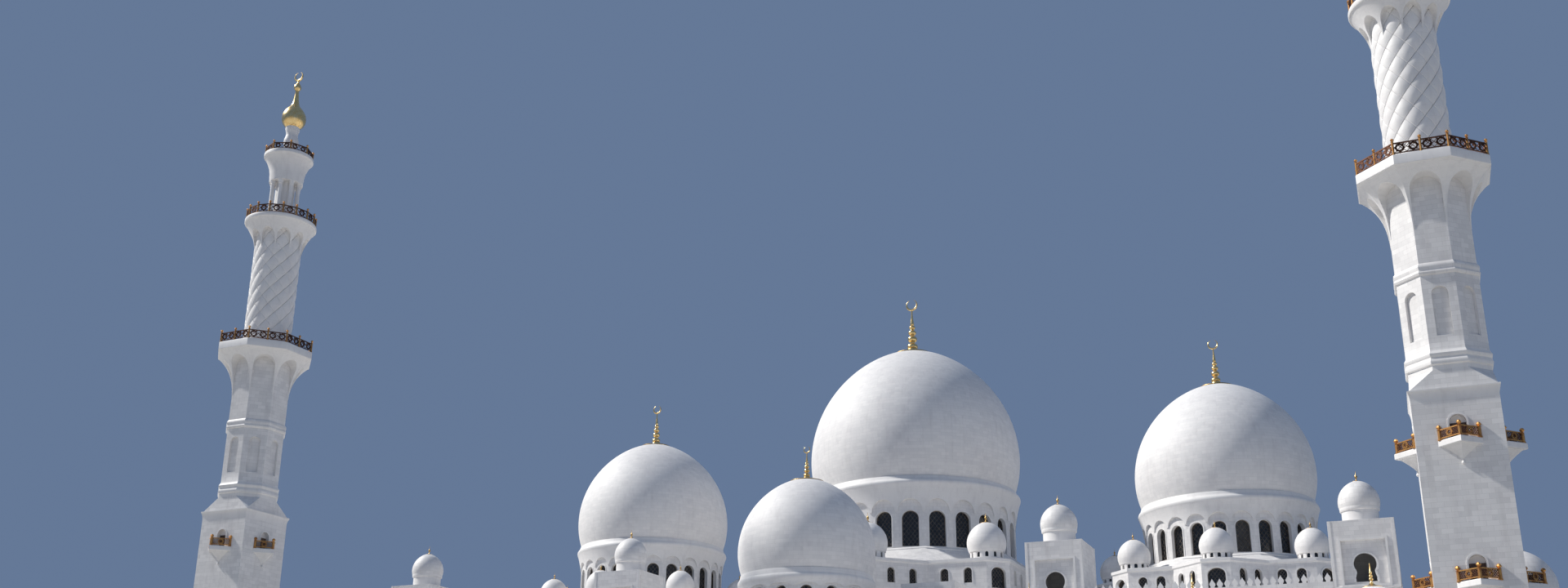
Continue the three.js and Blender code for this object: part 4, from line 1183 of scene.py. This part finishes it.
def bow(pile, rails, x, y, angle, z):
    """A small balcony on a wall that faces the angle, with its underside at the given height."""
    point = wall_at(x, y, angle, MINARET_HALF)

    def rows_between(levels):
        rows = [[point(u, v, r) for u, r in loop] for loop, v in levels]
        for one, two in zip(rows, rows[1:]):
            for i in range(2):
                pile.face([one[i], one[i + 1], two[i + 1], two[i]], 1)
        return rows

    def plan(half, reach):
        return [(-half, -0.05), (0, reach), (half, -0.05)]

    slab_plan, edge = plan(PROW_HALF, PROW_REACH), plan(PROW_HALF + 0.06, PROW_REACH + 0.07)
    rows = rows_between([(slab_plan, z), (edge, z + 0.07), (edge, z + 0.53), (slab_plan, z + PROW_SLAB)])
    pile.face(rows[-1], 1)
    pile.face(rows[0][::-1], 1)
    sides = []
    for t in ladder(0, 1, 9):
        share = 0.03 + 0.8 * t ** 1.35
        sides.append((plan(PROW_HALF * share, PROW_REACH * share), z - PROW_CORBEL * (1 - t)))
    rows_between(sides)
    ball = [(0, -0.34), (0.1, -0.3), (0.15, -0.2), (0.13, -0.09), (0.07, 0.0), (0.1, 0.05), (0.04, 0.12)]
    turned(pile, *point(0, 0, 0.09)[:2], [(r, z - PROW_CORBEL + v) for r, v in ball], 14, 1)
    base = z + PROW_SLAB
    posts = [(-PROW_HALF + 0.2, 0.08), (0, PROW_REACH - 0.24), (PROW_HALF - 0.2, 0.08)]
    for (u0, r0), (u1, r1) in zip(posts, posts[1:]):
        rail_panel(rails, point(u0, 0, r0), point(u1, 0, r1), base, height=1.05, gap=0.26, finish=0)
    for u, r in posts:
        rail_post(rails, *point(u, 0, r)[:2], base, height=1.5, thick=0.16)


print("bow balcony helper ready")

# %% Rails
def rail_post(pile, x, y, base, height, thick):
    ball = 1.5 * thick
    top = base + height - 2 * ball
    profile = [(0, base), (1.3 * thick, base), (1.3 * thick, base + 0.12), (thick, base + 0.16),
               (thick, top - 0.05), (1.35 * thick, top - 0.02), (0.5 * thick, top + 0.02),
               (ball, top + ball), (0.6 * ball, top + 1.75 * ball), (0, base + height)]
    turned(pile, x, y, profile, 8)


def rail_panel(pile, p, q, base, height, gap, finish):
    """A bronze panel between two posts: top and bottom bars, crossing bars and eight-pointed stars."""
    length = math.hypot(q[0] - p[0], q[1] - p[1])
    middle = ((p[0] + q[0]) / 2, (p[1] + q[1]) / 2)
    angle = math.atan2(q[1] - p[1], q[0] - p[0]) - math.pi / 2
    at = wall_at(middle[0], middle[1], angle)
    half = length / 2
    low, high = base + 0.14, base + height
    block(pile, at, -half, half, high - 0.12, high, -0.07, 0.07, finish)
    block(pile, at, -half, half, low, low + 0.1, -0.05, 0.05, finish)
    field = [(-half, low + 0.1), (half, low + 0.1), (half, high - 0.12), (-half, high - 0.12)]
    lattice(pile, at, field, gap, 0.05, -0.03, 0.03, finish=1, lean=1.0)
    mid = (low + high) / 2
    size = 0.38 * (high - low)
    stars = max(1, round(length / 1.6))
    for centre in [half * ((2 * k + 1) / stars - 1) for k in range(stars)]:
        for turn in (0, EIGHTH):
            corners = [turn + k * math.pi / 2 for k in range(4)]
            loop = [(centre + size * math.cos(a), mid + size * math.sin(a)) for a in corners]
            for a, b in around(loop):
                bar(pile, at, a, b, 0.11, -0.06, 0.06, finish)


def ring_rail(name, node, x, y, radius, sides, base, height, start, per_side):
    pile = Pile()
    angles = [start + TURN * k / sides for k in range(sides + 1)]
    corners = [(x + radius * math.cos(a), y + radius * math.sin(a)) for a in angles]
    for p, q in zip(corners, corners[1:]):
        stops = [(p[0] + (q[0] - p[0]) * t, p[1] + (q[1] - p[1]) * t) for t in ladder(0, 1, per_side)]
        for a, b in zip(stops, stops[1:]):
            # The ring rail panels take the dark bronze: painted shade for rails seen from below against the
            # light.
            rail_panel(pile, a, b, base, height * 0.72, gap=0.55, finish=1)
            rail_post(pile, a[0], a[1], base, height, thick=0.12)
    make(name, pile, [bronze, red_brown_bronze_and_shade], [node])


print("rail helpers ready")

# %% Square and octagonal shaft
LOW_DECK, MIDDLE_DECK, HIGH_DECK = 64.5, 84.2, 95.0


def shaft_piece(name, x):
    pile, rails, doors = Pile(), Pile(), Pile()
    y, half, face = MINARET_Y, MINARET_HALF, 3.7
    foot = FLOOR + SEAT
    for k in range(4):
        at = wall_at(x, y, k * math.pi / 2, half)
        for low, high, z in ((foot, 28.5, 21.9), (28.5, 39.7, 35.2)):
            sill = z + PROW_SLAB
            hole = arch(0, 1.5, sill, sill + 1.7, 0.75)
            pierced(pile, at, -half, half, low, high, [hole])
            reveal(pile, at, hole, 0.0, -0.55, 1)
            arch_band(pile, at, hole, 0.16, 0.0, 0.07, 1)
            loop = outline(hole)[::-1]
            slab(doors, at, loop, -0.6, -0.5, 1)
            block(doors, at, -0.7, 0.7, sill + 0.02, sill + 1.7, -0.5, -0.42, 0)
            for u in (-0.35, 0.35):
                block(doors, at, u - 0.25, u + 0.25, sill + 0.25, sill + 1.45, -0.42, -0.37, 0)
            bow(pile, rails, x, y, k * math.pi / 2, z)
        block(pile, at, -4.0, 4.0, foot, 1.4, -0.1, 0.15, 1)
    cornice = [(half, 39.7), (3.86, 40.0), (3.89, 40.25), (3.94, 40.5), (4.01, 40.7), (4.06, 40.78),
               (4.06, 40.9), (half, 40.96)]
    turned(pile, x, y, [(r * math.sqrt(2), z) for r, z in cornice], 4, 1, EIGHTH)
    near = face * math.tan(math.pi / 8)
    for k in range(4):
        at = wall_at(x, y, k * math.pi / 2)
        pile.face([at(-half, 40.9, half), at(half, 40.9, half), at(near, 42.8, face), at(-near, 42.8, face)])
        pile.face([at(half, 40.9, half), at(face, 42.8, near), at(near, 42.8, face)])
    below_niches = [(face, 42.8), (face, 43.25), (3.86, 43.35), (3.92, 43.6), (3.88, 43.75), (3.8, 43.95),
                    (3.8, 44.05), (3.9, 44.2), (3.92, 44.4), (3.78, 44.65), (face, 44.8)]
    eight_sided(pile, x, y, below_niches, 1)
    above_niches = [(face, 52.4), (3.84, 52.5), (3.92, 52.7), (3.84, 52.9), (3.84, 53.0), (3.92, 53.2),
                    (3.88, 53.45), (face, 53.7), (face, 63.0)]
    eight_sided(pile, x, y, above_niches)

    feet, lip = 57.4, LOW_DECK - 1.1
    flare = flared(feet, lip, start=3.72, gain=2.33, even=0.14, power=3)
    for k in range(8):
        flat = wall_at(x, y, k * EIGHTH, face)
        niche = arch(0, 1.5, 46.2, 50.45, 0.75)
        pierced(pile, flat, -near, near, 44.8, 52.4, [niche])
        reveal(pile, flat, niche, 0.0, -0.3, 1)
        pile.face([flat(u, v, -0.3) for u, v in outline(niche)[::-1]], 0)
        arcade(pile, wall_at(x, y, k * EIGHTH), lambda r: r * math.tan(math.pi / 8), flare, feet,
               spring=61.3, rise=1.4, top=lip, back=3.65, half=1.44, steps=16, rows=8, finish=1)
    deck = [(6.05, lip), (6.14, 63.42), (6.2, 63.5), (6.2, LOW_DECK - 0.1), (6.16, LOW_DECK), (0, LOW_DECK)]
    eight_sided(pile, x, y, deck, 1)
    make(f"{name}_minaret_tower", pile, [ashlar, carved_marble], [f"{name}_minaret_shaft"])
    make(f"{name}_bow_rails", rails, [bronze, red_brown_bronze_and_shade])
    make(f"{name}_bow_doors", doors, [door_wood, carved_marble])


for name, sign in SIDES:
    shaft_piece(name, sign * MINARET_X)
tell("shafts", "minaret", "bow")

# %% [markdown]
# ## Twisted shaft
#
# Above the first balcony ten thin grooves wind upwards to the right, and ten shallower ones to the
# left. They cut the shaft into diamonds that swell like cushions. It is easiest to model one diamond
# and to lay it round the shaft: its two coordinates run across the two sets of grooves, so the rows
# of mesh points can be packed closely beside each groove and spaced widely in between.

# %% Ribs, corbel and lantern
RIBS = 10
RIB_TOP = 79.2
RIB_CLIMB = 2.43


def diamond(pile, x, y, i, j, low, high):
    """One cushion of the shaft. s runs across the grooves that climb right, t across the others."""
    steps = [0, 0.04, 0.2, 0.4, 0.6, 0.8, 0.96, 1]

    def point(s, t):
        a = (i + s + j + t) * math.pi / RIBS
        z = low + (j + t - i - s) * RIB_CLIMB / 2
        right, left = (1 - min(s, 1 - s, 0.04) / 0.04), (1 - min(t, 1 - t, 0.04) / 0.04)
        r = 3.13 + s * (1 - s) * (0.3 + 0.9 * t * (1 - t)) - 0.11 * max(right, 0.4 * left)
        return (x + r * math.cos(a), y + r * math.sin(a), z), (3.2 * a, z)

    for s0, s1 in zip(steps, steps[1:]):
        for t0, t1 in zip(steps, steps[1:]):
            corners = [point(s0, t0), point(s1, t0), point(s1, t1), point(s0, t1)]
            if low <= min(c[0][2] for c in corners) and max(c[0][2] for c in corners) <= high:
                pile.face([c[0] for c in corners], 0, [c[1] for c in corners])


def ribbed_piece(name, x):
    pile = Pile()
    y = MINARET_Y
    seat = LOW_DECK + SEAT
    foot = [(0, seat), (3.42, seat), (3.42, 64.95), (3.36, 65.1), (3.3, 65.2), (3.3, 65.4), (3.15, 65.5)]
    turned(pile, x, y, foot, 96, 1)
    for i in range(RIBS):
        for j in range(i, i + 16):
            diamond(pile, x, y, i, j, 64.8, 83.3)

    lip = MIDDLE_DECK - 0.6
    flare = flared(RIB_TOP, lip, start=3.22, gain=1.62, even=0.12, power=2)
    for k in range(RIBS):
        arcade(pile, round_at(x, y, TURN * k / RIBS), lambda r: r * math.pi / RIBS, flare, RIB_TOP,
               spring=81.1, rise=1.25, top=lip, back=3.15, half=0.95, steps=12, rows=7, finish=1)
    deck = [(4.84, lip), (4.95, 83.64), (5.0, 83.75), (5.0, MIDDLE_DECK - 0.1), (4.96, MIDDLE_DECK),
            (0, MIDDLE_DECK)]
    turned(pile, x, y, deck, 96, 1)
    make(f"{name}_twisted_shaft", pile, [carved_marble, carved_marble],
         [f"{name}_minaret_ribbed_shaft"])


def lantern_piece(name, x):
    pile = Pile()
    y = MINARET_Y
    seat = MIDDLE_DECK + SEAT
    foot = [(0, seat), (2.45, seat), (2.45, 84.7), (2.4, 84.8), (2.4, 85.0), (2.3, 85.1), (1.35, 85.1),
            (1.35, 90.7)]
    turned(pile, x, y, foot, 48)
    column = [(0.42, 85.1), (0.42, 85.25), (0.33, 85.35), (0.3, 85.45), (0.28, 89.9), (0.36, 90.0),
              (0.3, 90.1), (0.42, 90.5), (0.42, 90.65)]
    for k in range(8):
        a = (k + 0.5) * EIGHTH
        turned(pile, x + 1.92 * math.cos(a), y + 1.92 * math.sin(a), column, 16)
    head = [(1.3, 90.6), (2.35, 90.6), (2.38, 90.75), (2.38, 91.2), (2.42, 91.4), (2.45, 92.0), (2.6, 92.8),
            (2.95, 93.7), (3.3, 94.3), (3.42, 94.4), (3.5, 94.5), (3.5, HIGH_DECK - 0.1),
            (3.46, HIGH_DECK), (0, HIGH_DECK)]
    turned(pile, x, y, head, 64)
    make(f"{name}_column_lantern", pile, [carved_marble], [f"{name}_minaret_lantern"])
    gilt = Pile()
    seat = HIGH_DECK + SEAT
    neck = [(0, seat), (1.4, seat), (1.4, 95.4), (1.2, 95.6), (0.92, 95.9), (0.84, 96.2), (0.9, 96.7),
            (1.04, 97.2), (1.07, 97.5), (1.02, 97.9), (0.88, 98.4), (0.84, 98.7), (0.9, 99.1), (1.03, 99.6),
            (1.0, 99.9)]
    ball = [(1.0, 99.9), (1.2, 100.1), (1.5, 100.45), (1.7, 100.95), (1.75, 101.4), (1.68, 101.95),
            (1.45, 102.5), (1.1, 103.0), (0.75, 103.4), (0.52, 103.9), (0.4, 104.5), (0.3, 105.4),
            (0.24, 106.05), (0.38, 106.25), (0.52, 106.5), (0.55, 106.7), (0.48, 106.95), (0.28, 107.3),
            (0.13, 107.55), (0.1, 107.85), (0, 107.9)]
    turned(gilt, x, y, neck, 40, 1)
    turned(gilt, x, y, ball, 40, 0)
    crescent(gilt, x, y, 108.6, 0.72, 0.16)
    make(f"{name}_gold_ball", gilt, [gold, carved_marble], [f"{name}_minaret_finial"], 50)


for name, sign in SIDES:
    x = sign * MINARET_X
    ribbed_piece(name, x)
    lantern_piece(name, x)
    for level, radius, sides, deck, height, start, per_side in (
            ("lower", octagon(6.02), 8, LOW_DECK, 1.8, math.pi / 8, 2),
            ("middle", 4.78, 16, MIDDLE_DECK, 1.8, 0, 1),
            ("upper", 3.3, 8, HIGH_DECK, 1.5, 0, 1)):
        ring_rail(f"{name}_{level}_balcony_rail", f"{name}_minaret_{level}_rail", x, MINARET_Y, radius, sides,
                  deck + SEAT, height, start, per_side)
tell("upper minaret", "twisted", "lantern", "balcony")

# %% [markdown]
# ## Hall and gallery walls
#
# The straight walls keep their CAD shape and only get a finish. Their openings are dressed with
# arch mouldings, and the hall windows get panes and lattice like those above. The back wall is the
# building's edge, so nothing stands out from it: its windows only get panes.

# %% Window dressings
def hall_window(k):
    return arch(k * BAY, 3.4, 12.0, 18.5, 1.9)


def entrance_window(c):
    return arch(c, 1.9, 18.6 + SEAT, 20.6 + SEAT, 0.95)


dressing, panes = Pile(), Pile()
foot = FLOOR + 0.02
for k in range(-3, 4):
    window(panes, wall_at(0, HALL_Y, BACK), hall_window(k), 0.7, 0.7, 0.16)
for sign in (-1, 1):
    side = side_wall(sign, HALL_X)
    for k in (-1.5, -0.5, 0.5, 1.5):
        window(panes, side, hall_window(k), 0.7, 0.7, 0.16)
        arch_band(dressing, side, hall_window(k), 0.35, 0.0, 0.15)
    block(dressing, side, -39.7, 39.7, 24.9, 25.5, 0.0, 0.3)
    block(dressing, side, -39.7, 39.7, foot, 1.7, 0.0, 0.2)
for k in (-2, 0, 2):
    arch_band(dressing, wall_at(0, -HALL_Y, FRONT), arch(k * BAY, 4.4, foot, 6.2, 2.4), 0.5, 0.004, 0.2)
gallery_wall = wall_at(0, GALLERY_FRONT, FRONT)
for k in range(-8, 9):
    arch_band(dressing, gallery_wall, arch(k * BAY / 2, 5.6, foot, 8.4, 3.2), 0.45, 0.0, 0.15)
block(dressing, gallery_wall, -84.85, 84.85, 15.3, 15.9, 0.0, 0.3)
for k in range(-8, 10):
    c = (k - 0.5) * BAY / 2
    block(dressing, gallery_wall, c - 0.45, c + 0.45, foot, 15.3, 0.0, 0.12)
make("wall_mouldings", dressing, [carved_marble])

block_front = -57.2
for c in (-7.5, -2.5, 2.5, 7.5):
    window(panes, wall_at(0, block_front, FRONT), entrance_window(c), 0.6, 0.5)
for sign in (-1, 1):
    for c in (-5.0, 0, 5.0):
        window(panes, side_wall(sign, 12.5, (block_front + GALLERY_BACK) / 2), entrance_window(c), 0.6, 0.5)
make("hall_windows", panes, [glass_painted_shade, lattice_bronze])
print("dressings:", triangles["wall_mouldings"], "panes:", triangles["hall_windows"])

# %% Finishes on the CAD walls
paved = ("hall_floor", "gallery_floor")
bare = ("hall_roof", "left_front_roof", "right_front_roof", "entrance_block")
dressed = [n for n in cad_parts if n.endswith("_wall") or n in bare]
for node in dressed + list(paved):
    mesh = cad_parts[node].data
    mesh.materials.clear()
    mesh.materials.append(court_stone if node in paved else wall_marble)
print("finished CAD nodes:", len(dressed) + len(paved))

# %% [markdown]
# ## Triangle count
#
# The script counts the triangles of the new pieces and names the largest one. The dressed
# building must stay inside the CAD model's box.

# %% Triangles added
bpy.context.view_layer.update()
print("triangles added:", sum(triangles.values()), "largest piece:", max(triangles, key=triangles.get))
